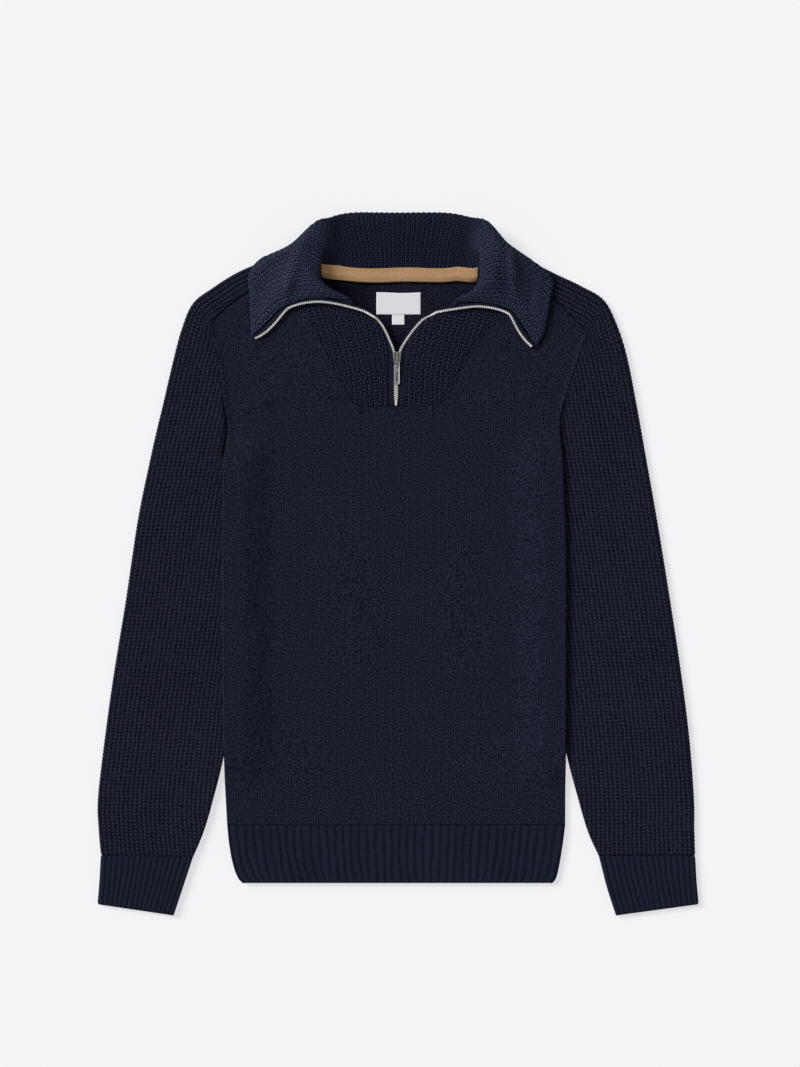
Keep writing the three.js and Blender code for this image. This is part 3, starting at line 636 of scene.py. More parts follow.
class Nodes:
    """Short hand for building a node tree."""

    def __init__(self, tree: bpy.types.NodeTree) -> None:
        """Keep the tree."""
        self.tree = tree

    def add(self, kind: str, inputs: dict | None = None, **settings: object) -> bpy.types.Node:
        """Add a node.

        Args:
            kind: Node type name.
            inputs: Values or sockets by input name or number.
            **settings: Properties of the node.

        Returns:
            The new node.
        """
        node = self.tree.nodes.new(kind)
        for key, value in settings.items():
            setattr(node, key, value)
        for key, value in (inputs or {}).items():
            if isinstance(value, bpy.types.NodeSocket):
                self.tree.links.new(value, node.inputs[key])
            else:
                node.inputs[key].default_value = value
        return node

    def math(self, operation: str, *values: object) -> Socket:
        """Add a Math node and return its result."""
        return self.add("ShaderNodeMath", dict(enumerate(values)), operation=operation).outputs[0]

    def times(self, a: Socket, b: Socket | float) -> Socket:
        """Product of two values."""
        return self.math("MULTIPLY", a, b)

    def fit(self, value: Socket, gain: Socket | float, base: Socket | float) -> Socket:
        """Value times gain plus base."""
        return self.math("MULTIPLY_ADD", value, gain, base)

    def tent(self, turns: Socket) -> Socket:
        """Zigzag of 0.5 at each whole turn and 0 between them."""
        return self.math("ABSOLUTE", self.math("SUBTRACT", self.math("FRACT", turns), 0.5))

    def wave(self, operation: str, turns: Socket) -> Socket:
        """Sine or cosine of a count of turns."""
        return self.math(operation, self.times(turns, math.tau))

    def noise(self, place: Socket, scale: float, detail: float, roughness: float = 0.5) -> Socket:
        """Noise from 0 to 1."""
        values = {"Vector": place, "Scale": scale, "Detail": detail, "Roughness": roughness}
        return self.add("ShaderNodeTexNoise", values).outputs["Fac"]

    def colour(self, share: Socket, dark: Colour, light: Colour) -> Socket:
        """Colour a share of the way from dark to light."""
        inputs = {"Factor": share, 6: (*dark, 1), 7: (*light, 1)}
        return self.add("ShaderNodeMix", inputs, data_type="RGBA", clamp_factor=True).outputs[2]

    def bump(self, height: Socket, strength: float, depth: float) -> Socket:
        """Normal of a surface with a height map that is depth mm deep."""
        inputs = {"Height": height, "Strength": strength, "Distance": depth * MM}
        return self.add("ShaderNodeBump", inputs).outputs["Normal"]


@dataclass(frozen=True)
class Finish:
    """A material with one shader."""

    name: str

    def material(self) -> bpy.types.Material:
        """Build the material.

        Returns:
            The material, with the inputs of its surface linked.
        """
        mat = bpy.data.materials.new(self.name)
        mat.use_nodes = True
        mat.node_tree.nodes.clear()
        n = Nodes(mat.node_tree)
        place = n.add("ShaderNodeTexCoord").outputs["Object"]
        shader = n.add("ShaderNodeBsdfPrincipled", self.surface(n, place))
        n.add("ShaderNodeOutputMaterial", {0: shader.outputs[0]})
        return mat

    def surface(self, n: Nodes, place: Socket) -> dict:
        """Build the inputs of the shader.

        Args:
            n: Node builder of the material.
            place: Object coordinates.

        Returns:
            Values or sockets by name of the shader's input.
        """
        raise NotImplementedError


@dataclass(frozen=True)
class KnitFinish(Finish):
    """Heathered yarn knitted into cloth, with stitches and fibre in its bump.

    Attributes:
        pit: Colour between the ridges.
        ridge: Colour on the ridges.
        knit: Pattern of the single stitches.
        roughness: Roughness of the yarn.
        sheen: Weight of its sheen.
        depth: Depth of the stitches in mm.
        yarn: Height of the fibre against the stitches.
        relief: How much the modelled relief shades, as painted shade darkening the pits and borders.
        contrast: How much the stitches shade.
        sharp: Exponent that narrows the stitches of waffle and rib.
        middle: Height of the stitches that leaves the shade as it is.
        heather: How much the fibre shades.
        patches: How much broad patches shade.
    """

    pit: Colour
    ridge: Colour
    knit: Knit = Knit.RIB
    roughness: float = 0.95
    sheen: float = 0.03
    depth: float = 0.35
    yarn: float = 0.55
    relief: float = 0.85
    contrast: float = 0.0
    sharp: float = 1.3
    middle: float = 0.3
    heather: float = 0.6
    patches: float = 0.22

    def surface(self, n: Nodes, place: Socket) -> dict:
        """Build the inputs of the shader, as in Finish."""
        heather = n.noise(place, 520.0, 3.0, 0.8)
        broad = n.noise(place, 12.0, 4.0)
        sway = n.math("SUBTRACT", n.noise(place, 85.0, 2.0), 0.5)
        relief = n.add("ShaderNodeAttribute", attribute_name="relief").outputs["Fac"]
        stitch = n.add("ShaderNodeAttribute", attribute_name="stitch").outputs["Vector"]
        wales, courses, light = n.add("ShaderNodeSeparateXYZ", {"Vector": stitch}).outputs
        loops = self._loops(n, n.fit(sway, 0.7, wales), n.fit(sway, -1.1, courses))
        fleck = n.times(n.math("SUBTRACT", heather, 0.5), 2.4 * self.heather)
        patch = n.times(n.math("SUBTRACT", broad, 0.5), self.patches)
        # Painted shade: the relief attribute darkens the knit's pits and its rounded borders.
        shade = n.fit(relief, self.relief, 0.5 - 0.5 * self.relief)
        shade = n.math("ADD", n.math("ADD", shade, fleck), patch)
        shade = n.fit(n.math("SUBTRACT", loops, self.middle), self.contrast, shade)
        # Painted light and shade: the lightness in the stitch attribute scales the colour.
        tint = n.add("ShaderNodeVectorMath", {0: n.colour(shade, self.pit, self.ridge), "Scale": light},
                     operation="SCALE")
        return {
            "Base Color": tint.outputs[0],
            "Roughness": self.roughness,
            "Normal": n.bump(n.fit(heather, self.yarn, loops), 0.8, self.depth),
            "Sheen Weight": self.sheen,
            "Sheen Roughness": 0.45,
            "Sheen Tint": (0.55, 0.62, 0.85, 1),
            "Specular IOR Level": 0.02,
        }

    def _loops(self, n: Nodes, p: Socket, q: Socket) -> Socket:
        """Stitches of the knit.

        Args:
            n: Node builder of the material.
            p: Count of wales.
            q: Count of courses.

        Returns:
            0 between the stitches and about 1 on them.
        """
        if self.knit is Knit.PLAIN:
            tent = n.tent(p)
            column = n.fit(n.math("POWER", n.times(tent, 2.0), 2.5), -0.75, 1.0)
            return n.times(column, n.times(n.tent(n.fit(tent, 1.1, q)), 1.8))
        if self.knit is Knit.CHAIN:
            tent = n.tent(p)
            strand = n.fit(n.wave("COSINE", n.times(p, 2.0)), -0.38, 0.5)
            edge = n.math("POWER", n.times(tent, 2.0), 2.0)
            course = n.wave("COSINE", n.fit(tent, 1.3, q))
            return n.times(n.times(strand, n.fit(edge, -0.55, 1.0)), n.fit(course, 0.9, 1.0))
        q = n.fit(n.wave("SINE", p), 0.1, q)
        wale, course = (n.math("POWER", n.fit(n.wave("COSINE", turns), 0.5, 0.5), self.sharp)
                        for turns in (p, q))
        return n.times(wale, n.math("ADD", course, 0.04))


@dataclass(frozen=True)
class WovenFinish(Finish):
    """Flat woven tape, label or thread, twilled in alternate stripes where herringbone is set.

    Attributes:
        dark: Colour between the threads.
        light: Colour on the threads.
        pitch: Distance between two threads in mm.
        herringbone: Width of a pair of stripes in mm.
        roughness: Roughness of the thread.
        depth: Depth of the weave in mm.
        contrast: How much the weave shades.
        sheen: Weight of its sheen.
        gloss: Level of its reflections.
        slub: Scale of the uneven thread.
    """

    dark: Colour
    light: Colour
    pitch: float = 0.7
    herringbone: float = 0.0
    roughness: float = 0.8
    depth: float = 0.15
    contrast: float = 0.6
    sheen: float = 0.1
    gloss: float = 0.2
    slub: float = 1300.0

    def surface(self, n: Nodes, place: Socket) -> dict:
        """Build the inputs of the shader, as in Finish."""
        split = n.add("ShaderNodeSeparateXYZ", {"Vector": place})
        x, y = (n.times(split.outputs[key], 1 / (self.pitch * MM)) for key in "XY")
        if self.herringbone:
            stripe = n.times(split.outputs["Y"], 1 / (self.herringbone * MM))
            lean = n.times(n.tent(stripe), 8.0)
            weave = n.times(n.tent(n.math("ADD", x, lean)), 2.0)
        else:
            weave = n.fit(n.times(n.wave("SINE", x), n.wave("SINE", y)), 0.5, 0.5)
        share = n.fit(weave, self.contrast, n.times(n.noise(place, self.slub, 2.0), 0.5))
        return {
            "Base Color": n.colour(share, self.dark, self.light),
            "Roughness": self.roughness,
            "Normal": n.bump(share, 0.7, self.depth),
            "Sheen Weight": self.sheen,
            "Specular IOR Level": self.gloss,
        }


@dataclass(frozen=True)
class MetalFinish(Finish):
    """Polished or brushed zip metal with fine wear, and painted shade that darkens its crevices.

    Attributes:
        colour: Colour of the metal.
        roughness: Roughness where it is polished.
        metallic: Share of metal in the shader.
        crevice: How dark the painted shade in the crevices is.
        bands: Table of x in mm and brightness, for a part that mirrors in bands.
    """

    colour: Colour
    roughness: float
    metallic: float
    crevice: float = 0.0
    bands: tuple[tuple[float, float], ...] = ()

    def surface(self, n: Nodes, place: Socket) -> dict:
        """Build the inputs of the shader, as in Finish."""
        wear = n.noise(place, 700.0, 5.0)
        # Painted shade: ambient occlusion darkens the colour in crevices and next to other parts.
        open_sky = n.add("ShaderNodeAmbientOcclusion", {"Distance": 2.2 * MM}, samples=8)
        crevice_shade = n.math("POWER", open_sky.outputs["AO"], 1.8)
        colour = n.colour(crevice_shade, [c * (1 - self.crevice) for c in self.colour], self.colour)
        return {
            "Base Color": self._banded(n, place, colour) if self.bands else colour,
            "Metallic": self.metallic,
            "Roughness": n.fit(wear, 0.22, self.roughness - 0.1),
            "Normal": n.bump(wear, 0.25, 0.05),
        }

    def _banded(self, n: Nodes, place: Socket, colour: Socket) -> Socket:
        """Darken the colour in bands across the part, as a rounded face mirrors a room.

        Args:
            n: Node builder of the material.
            place: Object coordinates.
            colour: Colour of the metal.

        Returns:
            The banded colour.
        """
        first, last = self.bands[0][0], self.bands[-1][0]
        x = n.add("ShaderNodeSeparateXYZ", {"Vector": place}).outputs["X"]
        share = n.math("DIVIDE", n.math("SUBTRACT", x, first * MM), (last - first) * MM)
        ramp = n.add("ShaderNodeValToRGB", {"Fac": share})
        stops = ramp.color_ramp.elements
        while len(stops) < len(self.bands):
            stops.new(0.5)
        for stop, (at, level) in zip(stops, self.bands):
            stop.position = (at - first) / (last - first)
            stop.color = (level, level, level, 1)
        inputs = {"Factor": 1.0, 6: colour, 7: ramp.outputs["Color"]}
        return n.add("ShaderNodeMix", inputs, data_type="RGBA", blend_type="MULTIPLY").outputs[2]


class Wardrobe:
    """The finishes of the sweater, each made once."""

    def __init__(self) -> None:
        """Build every material."""
        self.jersey = KnitFinish("navy_jersey", (0.0020, 0.0030, 0.0088), (0.0224, 0.0243, 0.0420),
                                 knit=Knit.PLAIN, depth=0.30, relief=0.0, contrast=1.6, middle=0.40,
                                 heather=2.6).material()
        self.waffle = KnitFinish("navy_waffle", (0.0032, 0.0036, 0.0092), (0.0228, 0.0250, 0.0424),
                                 knit=Knit.WAFFLE, relief=0.2, contrast=0.95, sharp=1.2,
                                 heather=0.8).material()
        self.chain_knit = KnitFinish("navy_chain_knit", (0.0020, 0.0024, 0.0074), (0.0245, 0.0282, 0.0465),
                                     knit=Knit.CHAIN, depth=0.4, relief=0.5, contrast=1.2, middle=0.48,
                                     heather=0.7).material()
        self.rib = KnitFinish("navy_rib", (0.0036, 0.0042, 0.0100), (0.0130, 0.0149, 0.0284),
                              depth=0.25, heather=0.7).material()
        self.tape = WovenFinish("zip_tape_weave", (0.0050, 0.0058, 0.0140), (0.0120, 0.0136, 0.0270),
                                sheen=0.02, gloss=0.05).material()
        self.neck = WovenFinish("neck_tape_herringbone", (0.22, 0.108, 0.042), (0.62, 0.375, 0.190),
                                pitch=1.4, herringbone=5.0, slub=420.0).material()
        self.label = WovenFinish("label_weave", (0.60, 0.60, 0.63), (0.74, 0.74, 0.765), pitch=0.45,
                                 depth=0.06).material()
        self.thread = WovenFinish("sewing_thread", (0.28, 0.15, 0.07), (0.46, 0.28, 0.15),
                                  pitch=0.3).material()
        self.teeth = MetalFinish("zip_teeth_metal", (0.78, 0.77, 0.75), 0.4, 0.55).material()
        # The crevice values set painted shade in the crevices of the closed teeth, slider and pull.
        self.chain = MetalFinish("closed_teeth_metal", (0.80, 0.75, 0.66), 0.4, 0.45,
                                 crevice=0.75).material()
        self.slider = MetalFinish("slider_metal", (0.46, 0.45, 0.42), 0.22, 0.95, crevice=0.96,
                                  bands=SLIDER_BANDS).material()
        self.pull = MetalFinish("pull_metal", (0.98, 0.94, 0.87), 0.22, 0.75, crevice=0.8,
                                bands=PULL_BANDS).material()


@dataclass
class Tailor:
    """Dresses finished pieces: material, body and node."""

    wardrobe: Wardrobe
    made: list[str] = field(default_factory=list)

    def dress(self, obj: bpy.types.Object, material: bpy.types.Material, *nodes: str, slot: str,
              body: str = "garment") -> None:
        """Give a piece its finish and its place in the frame.

        Args:
            obj: The piece.
            material: Its finish.
            *nodes: CAD nodes that it stands for.
            slot: Not used.
            body: Body that it rides on.
        """
        obj.data.materials.clear()
        obj.data.materials.append(material)
        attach(obj, body)
        if nodes:
            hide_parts(*nodes)
        self.made.append(obj.name)
        log.info("%s: %d faces", obj.name, len(obj.data.polygons))

    def sew(self, cloth: Cloth, material: bpy.types.Material, slot: str) -> None:
        """Build a laid piece of cloth and dress it for its node.

        Args:
            cloth: Its wall, which has the name of its node.
            material: Its finish.
            slot: Material slot of the record.
        """
        obj = cloth.build()
        self.dress(obj, material, cloth.name, slot=slot)


@dataclass
class BodyPanels:
    """Jersey front with its notch, and back.

    Attributes:
        columns: Even columns of a side block.
        centre: Columns between the notch corners.
        levels: Even rows below the notch.
        upper: Rows beside the notch.
        turn: Columns round a folded side.
        wale: Width of a stitch in mm.
        course: Height of a stitch in mm.
    """

    columns: int = 44
    centre: int = 16
    levels: int = 90
    upper: int = 40
    turn: int = 5
    wale: float = 3.0
    course: float = 2.2

    def panel(self, front: bool) -> Cloth:
        """Lay out one panel.

        Args:
            front: True for the front, False for the back.

        Returns:
            The panel's wall.
        """
        levels = self._levels()
        v = np.linspace(0, 1, self.upper + 1)
        closed = 1 - smooth(*UNDERARM, levels)
        left, right = (self._side(side, front, levels, v) for side in ("left", "right"))
        count, first = len(left), len(levels)
        plan = np.concatenate([left, self._middle(left[-1], right[-1], front, v), right[::-1]])
        height = np.concatenate([np.sin(fold_angles(self.turn)), np.ones(count - self.turn)])
        height = np.concatenate([height, np.ones(self.centre - 1), height[::-1]])
        shut = np.concatenate([closed, np.zeros(self.upper)])
        up = 0.5 + 0.5 * mix(1, height[:, None], shut[None])
        x, y = plan[..., 0], plan[..., 1]
        z = layer(up if front else 1 - up, x, y, BODY_LAID, JERSEY) + lift(x, y)
        if front:
            z = z + self._edges(plan, count, first)
        grid = np.stack([x, y, z], -1)
        fold = creases(CREASES, x, y) * smooth(*CREASE_BORDER, edge_distance(grid))
        grid[..., 2] += fold if front else BACK_CREASE * np.maximum(fold, 0)
        knit = stitches(x / self.wale, y / self.course)
        if not front:
            return Cloth("back", grid, JERSEY, flip=True, stitch=knit, inside=self._shade(x, y))
        keep = np.ones((grid.shape[0] - 1, grid.shape[1] - 1), bool)
        keep[count - 1:count - 1 + self.centre, first - 1:] = False
        return Cloth("front", grid, JERSEY, keep=keep, stitch=knit)

    def _side(self, side: str, front: bool, levels: Array, v: Array) -> Array:
        """Lay out the block between a side seam with its armhole and the edge of the neck.

        Args:
            side: Left or right.
            front: Whether this is the front.
            levels: Heights of the lower rows.
            v: Shares up the upper part.

        Returns:
            Places of shape (columns, rows, 2), from the outside in.
        """
        radius = (BODY_LAID - JERSEY) / 2
        sign = 1 if side == "left" else -1
        step = sign * (SEAM if front else SEAM - UNDERLAP)
        neck = (NOTCH if front else BACK_NECK)[side]
        corner = neck[0][0]
        turn_in = 1 - np.cos(fold_angles(self.turn))
        share = self._edge_shares()
        end = np.interp(levels, BODY_SIDE[:, 0], BODY_SIDE[:, 1 if side == "left" else 2])
        end = end + step * smooth(*UNDERARM, levels)
        low_x = np.concatenate([end[None] + sign * radius * turn_in[:, None],
                                mix((end + sign * radius)[None], corner, share[:, None])])
        low = np.stack([low_x, np.broadcast_to(levels, low_x.shape)], -1)
        shift = np.array([step, -SADDLE_GAP if front else UNDERLAP - SADDLE_GAP])
        armhole = inner_edge(side, 7 - 3 * v) + np.stack([np.full_like(v, step), shift[1] * v], -1)
        inner = curve(neck, v)
        width = abs(corner - armhole[0][0])
        u = np.concatenate([turn_in * radius / width, mix(radius / width, 1, share)])
        top = inner_edge(side, 4 - 4 * u) + shift
        top = top + (inner[-1] - inner_edge(side, 0.0) - shift) * (u**6)[:, None]
        if not front:
            top[:, 1] += BACK_NECK_POINT * bell(u, 0.9, 0.07)
        return np.concatenate([low, coons(armhole, inner, top, u)[:, 1:]], 1)

    @staticmethod
    def _shade(x: Array, y: Array) -> Array:
        """Lightness inside the back, with painted shadow darker at its left and deep in the opening."""
        deep = (1 - smooth(232, 280, y)) * smooth(180, 200, y)
        return mix(0.34, 0.82, smooth(-62, 4, x)) * (1 - 0.5 * deep)

    @staticmethod
    def _edges(plan: Array, count: int, first: int) -> Array:
        """Soft ridge of jersey along the armholes and the notch.

        Args:
            plan: Places of the front, shape (nu, nv, 2).
            count: Columns of a side block.
            first: First row of the upper part.

        Returns:
            Height in mm at every place.
        """
        height = np.zeros(plan.shape[:2])
        for block in (slice(0, count), slice(-1, -count - 1, -1)):
            step = np.linalg.norm(np.diff(plan[block], axis=0), axis=-1)
            run = np.concatenate([np.zeros((1, step.shape[1])), np.cumsum(step, axis=0)])
            ridge = 1.5 * bell(run, 1.6, 2.4) + 0.7 * bell(run[-1:] - run, 1.2, 1.5)
            ridge[:, :first] = 0
            ridge[:, first - 8:first] = ridge[:, first:first + 1] * np.linspace(0, 1, 9)[None, 1:]
            height[block] = ridge
        return height

    def _edge_shares(self) -> Array:
        """Shares across a side block, closer together at both ends."""
        t = np.linspace(0, 1, self.columns)
        return np.unique(np.concatenate([t, [0.004, 0.009, 0.991, 0.996]]))

    def _levels(self) -> Array:
        """Heights of the lower rows, closer together at the hem and under the notch."""
        y = np.linspace(BODY_LOW, BODY_HIGH, self.levels)
        return np.unique(np.concatenate([y, [-294.0, -293.2, -291.5, 176.0, 177.2]]))

    def _middle(self, left: Array, right: Array, front: bool, v: Array) -> Array:
        """Columns between the notch corners.

        Args:
            left: Points of the left corner column.
            right: Points of the right corner column.
            front: Whether this is the front.
            v: Shares up the upper part.

        Returns:
            Inner columns, without the two corner ones.
        """
        c = np.linspace(0, 1, self.centre + 1)[1:-1, None, None]
        grid = mix(left[None], right[None], c)
        if not front:
            grid[:, -self.upper:, 1] -= (4 * BACK_NECK_DIP * c * (1 - c))[..., 0] * v[None, 1:]
        return grid

    def build(self, tailor: Tailor) -> None:
        """Make both panels."""
        for front, rests in ((True, ["back", "sleeve_left", "sleeve_right"]), (False, [])):
            tailor.sew(self.panel(front), tailor.wardrobe.jersey, "navy_jersey")


@dataclass
class Tube:
    """A sleeve or cuff laid flat, open at a slit on its inner fold.

    Attributes:
        name: CAD node that it stands for.
        rows: Inner x and y, outer x and y, and share to which the inner fold is closed.
        laid: Height of both layers.
        wall: Thickness.
        flip: Whether the outer side is the other one.
        knit: Waffle or rib.
        top: Columns of the upper layer.
        bottom: Columns of the lower layer.
        along: Rows.
        wales: Width of a wale in mm for waffle, count of ribs across a layer for rib.
        courses: Courses along the tube.
        folds: Table of creases.
    """

    name: str
    rows: Array
    laid: float
    wall: float
    flip: bool
    knit: Knit
    top: int
    bottom: int
    along: int
    wales: float
    courses: float
    folds: Array | None = None

    relief = 0.75
    coarse = (2, 4)

    def cloth(self) -> Cloth:
        """Lay out the tube.

        Returns:
            The tube's wall with its knit raised.
        """
        row = spline(self.rows, self._steps())
        inner, outer, closed = row[:, 0:2].copy(), row[:, 2:4], np.clip(row[:, 4], 0, 1)
        if self.knit is Knit.WAFFLE:
            inner[:, 0] = self._underarm(inner, closed)
        width = np.linalg.norm(outer - inner, axis=1)
        alongs, shares, wale = self._section(width, closed)
        plan = mix(inner[None], outer[None], (alongs / width)[..., None])
        x, y = plan[..., 0], plan[..., 1]
        z = layer(shares, x, y, self.laid, self.wall)
        if self.folds is not None:
            z = z + creases(self.folds, x, y) * shares * smooth(3, 16, alongs) * smooth(3, 16, width - alongs)
        grid = np.stack([x, y, z], -1)
        if (len(grid) - 1) % self.coarse[0]:
            raise ValueError(f"{self.name}: {len(grid)} columns don't pair up")
        light = 1.0
        if self.knit is Knit.WAFFLE:
            p = (width - alongs) / self.wales * np.where(shares < 0.5, -1, 1)
            # Painted shade where the sleeve meets the body's side.
            light = self._shade(alongs, shares, y)
        else:
            p = wale * self.wales
            share = np.linspace(0, 1, self.along + 1)[None]
            p = p + 0.13 * np.sin(p * 1.1) * np.sin(share * 5.0) * np.sin(np.pi * np.abs(wale))
        q = np.broadcast_to(np.linspace(0, self.courses, self.along + 1), p.shape)
        tone = pattern(self.knit, p, q)
        raised = np.where(shares < 0.5, -0.5 * self.relief * (1 - tone), self.relief * (tone - 0.45))
        return Cloth(self.name, grid, self.wall, flip=self.flip, relief=raised, tone=tone, coarse=self.coarse,
                     floor=LOWEST, stitch=stitches(p, q, light))

    def _section(self, width: Array, closed: Array) -> Array:
        """Lay out the columns round the tube, from the inner fold under it and back over it.

        Args:
            width: Width of the tube at each row.
            closed: Share to which the inner fold is closed there.

        Returns:
            Place across in mm, share of the height, and share across the layer, negative below.
        """
        radius = (self.laid - self.wall) / 2
        turn = fold_angles(3)
        under = UNDERLAP * (1 - closed)
        columns: list[Array] = []

        def put(across: Array, share: Array | float, wale: float) -> None:
            """Add a column."""
            columns.append(np.stack(np.broadcast_arrays(across, share, wale)))

        def fold(a: float) -> Array:
            """Place across of the inner fold at an angle."""
            return radius * mix((a - turn[0]) / (math.pi / 2 - turn[0]), 1 - math.cos(a), closed)

        for a in turn:
            put(fold(a) + under, 0.5 - 0.5 * mix(1, math.sin(a), closed), -0.12)
        for u in np.linspace(0, 1, self.bottom + 1):
            put(mix(radius + under, width - radius, u), 0, u - 1)
        for a in np.radians(np.linspace(-90, 90, 9))[1:-1]:
            put(width - radius + radius * math.cos(a), 0.5 + 0.5 * math.sin(a), 0)
        for u in np.linspace(0, 1, self.top + 1):
            put(mix(width - radius, radius, u), 1, u)
        for a in turn[::-1]:
            put(fold(a), 0.5 + 0.5 * mix(1, math.sin(a), closed), 1)
        return np.stack(columns, 1)

    @staticmethod
    def _shade(alongs: Array, shares: Array, y: Array) -> Array:
        """Lightness of a sleeve, with painted shade dark where it meets the body's side under the arm."""
        reach = 2.5 + 3.5 * smooth(190, 120, y)
        shade = smooth(196, 184, y) * smooth(-130, 20, y) * (shares >= 0.5)
        return 1 - 0.75 * bell(alongs, 0, reach) * shade

    @staticmethod
    def _underarm(inner: Array, closed: Array) -> Array:
        """Draw the inner fold close to the body's side under the arm.

        Args:
            inner: Inner line of the sleeve.
            closed: Share to which the sleeve's fold is closed there.

        Returns:
            New x of the inner line.
        """
        x, y = inner[:, 0], inner[:, 1]
        side = np.interp(y, BODY_SIDE[:, 0], BODY_SIDE[:, 1 if x[0] < 0 else 2])
        limit = np.abs(side) + 0.2 + 0.25 * closed - UNDER_BODY * (1 - smooth(112, 127, y))
        near = (y > 70) & (y < 152)
        return np.where(near, np.sign(x) * np.minimum(np.abs(x), limit), x)

    def _steps(self) -> Array:
        """Row positions with even spacing along the middle of the tube."""
        dense = np.linspace(0, len(self.rows) - 1, 400)
        row = spline(self.rows, dense)
        run = run_length(0.5 * (row[:, 0:2] + row[:, 2:4]))
        return np.interp(np.linspace(0, run[-1], self.along + 1), run, dense)


class Sleeves:
    """Waffle sleeves with saddle shoulders, and their ribbed cuffs."""

    def build(self, tailor: Tailor) -> None:
        """Make both sleeves and both cuffs."""
        for side in ("left", "right"):
            flip = side == "left"
            sleeve = Tube(f"sleeve_{side}", SLEEVE[side], SLEEVE_LAID, WAFFLE, flip, Knit.WAFFLE,
                          top=96, bottom=20, along=564, wales=5.1, courses=188, folds=SLEEVE_CREASES)
            tailor.sew(sleeve.cloth(), tailor.wardrobe.waffle, "navy_waffle")
            cuff = Tube(f"cuff_{side}", CUFF[side], RIB_LAID, RIB, flip, Knit.RIB,
                        top=CUFF_RIBS * 8, bottom=60, along=36, wales=CUFF_RIBS, courses=20)
            tailor.sew(cuff.cloth(), tailor.wardrobe.rib, "navy_rib")


@dataclass
class HemBand:
    """Ribbed hem, front and back.

    Attributes:
        cells: Columns of a rib.
        rows: Rows of the band.
        relief: Depth of the ribs in mm.
    """

    cells: int = 8
    rows: int = 36
    relief: float = 0.9

    def band(self, front: bool) -> Cloth:
        """Lay out one side of the hem."""
        radius = (RIB_LAID - RIB) / 2
        v = np.linspace(0, 1, self.rows + 1) ** 0.85
        left, right, y = (self._soften(np.interp(v, HEM_SIDE[:, 0], HEM_SIDE[:, k])) for k in (1, 2, 3))
        angle = fold_angles(4)
        flat = np.linspace(0, 1, self.cells * HEM_RIBS + 1)
        x = [left + radius * (1 - math.cos(a)) for a in angle]
        x += [mix(left + radius, right - radius, c) for c in flat]
        x += [right - radius * (1 - math.cos(a)) for a in angle[::-1]]
        x = np.array(x)
        height = np.concatenate([np.sin(angle), np.ones(len(flat)), np.sin(angle)[::-1]])
        share = 0.5 + 0.5 * height
        share = share if front else 1 - share
        yy = np.broadcast_to(y, x.shape)
        z = layer(share[:, None], x, yy, RIB_LAID, RIB)
        p = np.concatenate([np.zeros(len(angle)), flat * HEM_RIBS, np.full(len(angle), HEM_RIBS)])[:, None]
        wander = 0.11 * (np.sin(v * 4.0)[None] * np.sin(p * 0.9)
                         + 0.6 * np.sin(v * 9.0 + 1.0)[None] * np.sin(p * 2.3))
        tone = pattern(Knit.RIB, p + 0.5 + wander, v)
        uneven = 0.82 + 0.18 * np.sin(p * 1.7) * np.cos(p * 0.63)
        raised = self.relief * (tone - 0.4) if front else -0.5 * self.relief * (1 - tone)
        return Cloth("hem_front" if front else "hem_back", np.stack([x, yy, z], -1), RIB, flip=front,
                     relief=raised * uneven, tone=mix(0.5, tone, uneven), soft_edge=1.1, floor=LOWEST)

    @staticmethod
    def _soften(values: Array) -> Array:
        """Round the corners of a straight-line table."""
        out = values.copy()
        for _ in range(3):
            out[1:-1] = 0.25 * out[:-2] + 0.5 * out[1:-1] + 0.25 * out[2:]
        return out

    def build(self, tailor: Tailor) -> None:
        """Make both sides of the hem."""
        for front, rests in ((True, ["hem_back"]), (False, [])):
            tailor.sew(self.band(front), tailor.wardrobe.rib, "navy_rib")


@dataclass
class Insets:
    """Waffle panels beside the zip.

    Attributes:
        across: Columns.
        up: Rows.
        wale: Width of a wale in mm.
        course: Height of a course in mm.
        fan: Share by which the wales spread with each mm above the notch's middle.
        level: Height of the notch's middle.
    """

    across: int = 140
    up: int = 220
    wale: float = 5.9
    course: float = 3.7
    fan: float = 0.0014
    level: float = 215.0

    def panel(self, side: str) -> Cloth:
        """Lay out one inset."""
        sign = 1 if side == "left" else -1
        v = np.linspace(0, 1, self.up + 1)
        u = np.linspace(0, 1, self.across + 1)
        outer = curve(NOTCH[side], v) + np.stack([np.full_like(v, sign * SEAM), 0.2 * (1 - v)], -1)
        by_zip = ZIP_LOWER[side][:, 2:4] - [sign * SEAM, 0]
        by_zip[0, 1] = BODY_HIGH + 0.2
        by_zip[-1] -= [sign * 2.0, 1.8]
        inner = curve(by_zip, v)
        top = curve(np.concatenate([[outer[-1]], INSET_TOP[side], [inner[-1]]]), u)
        plan = coons(outer, inner, top, u)
        x, y = plan[..., 0], plan[..., 1]
        grid = np.stack([x, y, inset_height(x, y)], -1)
        out = np.abs(x) - 8
        above = np.maximum(0, y - self.level)
        turn = 0.2 * above**1.5 / (15 + above) ** 0.5
        p = (out * (1 - self.fan * (y - self.level)) - turn) / self.wale
        q = (y + 0.16 * out) / self.course
        tone = pattern(Knit.CHAIN, p, q)
        return Cloth(f"inset_{side}", grid, INSET, flip=side == "right", relief=tone - 0.5, tone=tone,
                     coarse=(4, 4), soft_edge=1.8, stitch=stitches(p, q))

    def build(self, tailor: Tailor) -> None:
        """Make both insets."""
        for side in ("left", "right"):
            tailor.sew(self.panel(side), tailor.wardrobe.chain_knit, "navy_waffle")


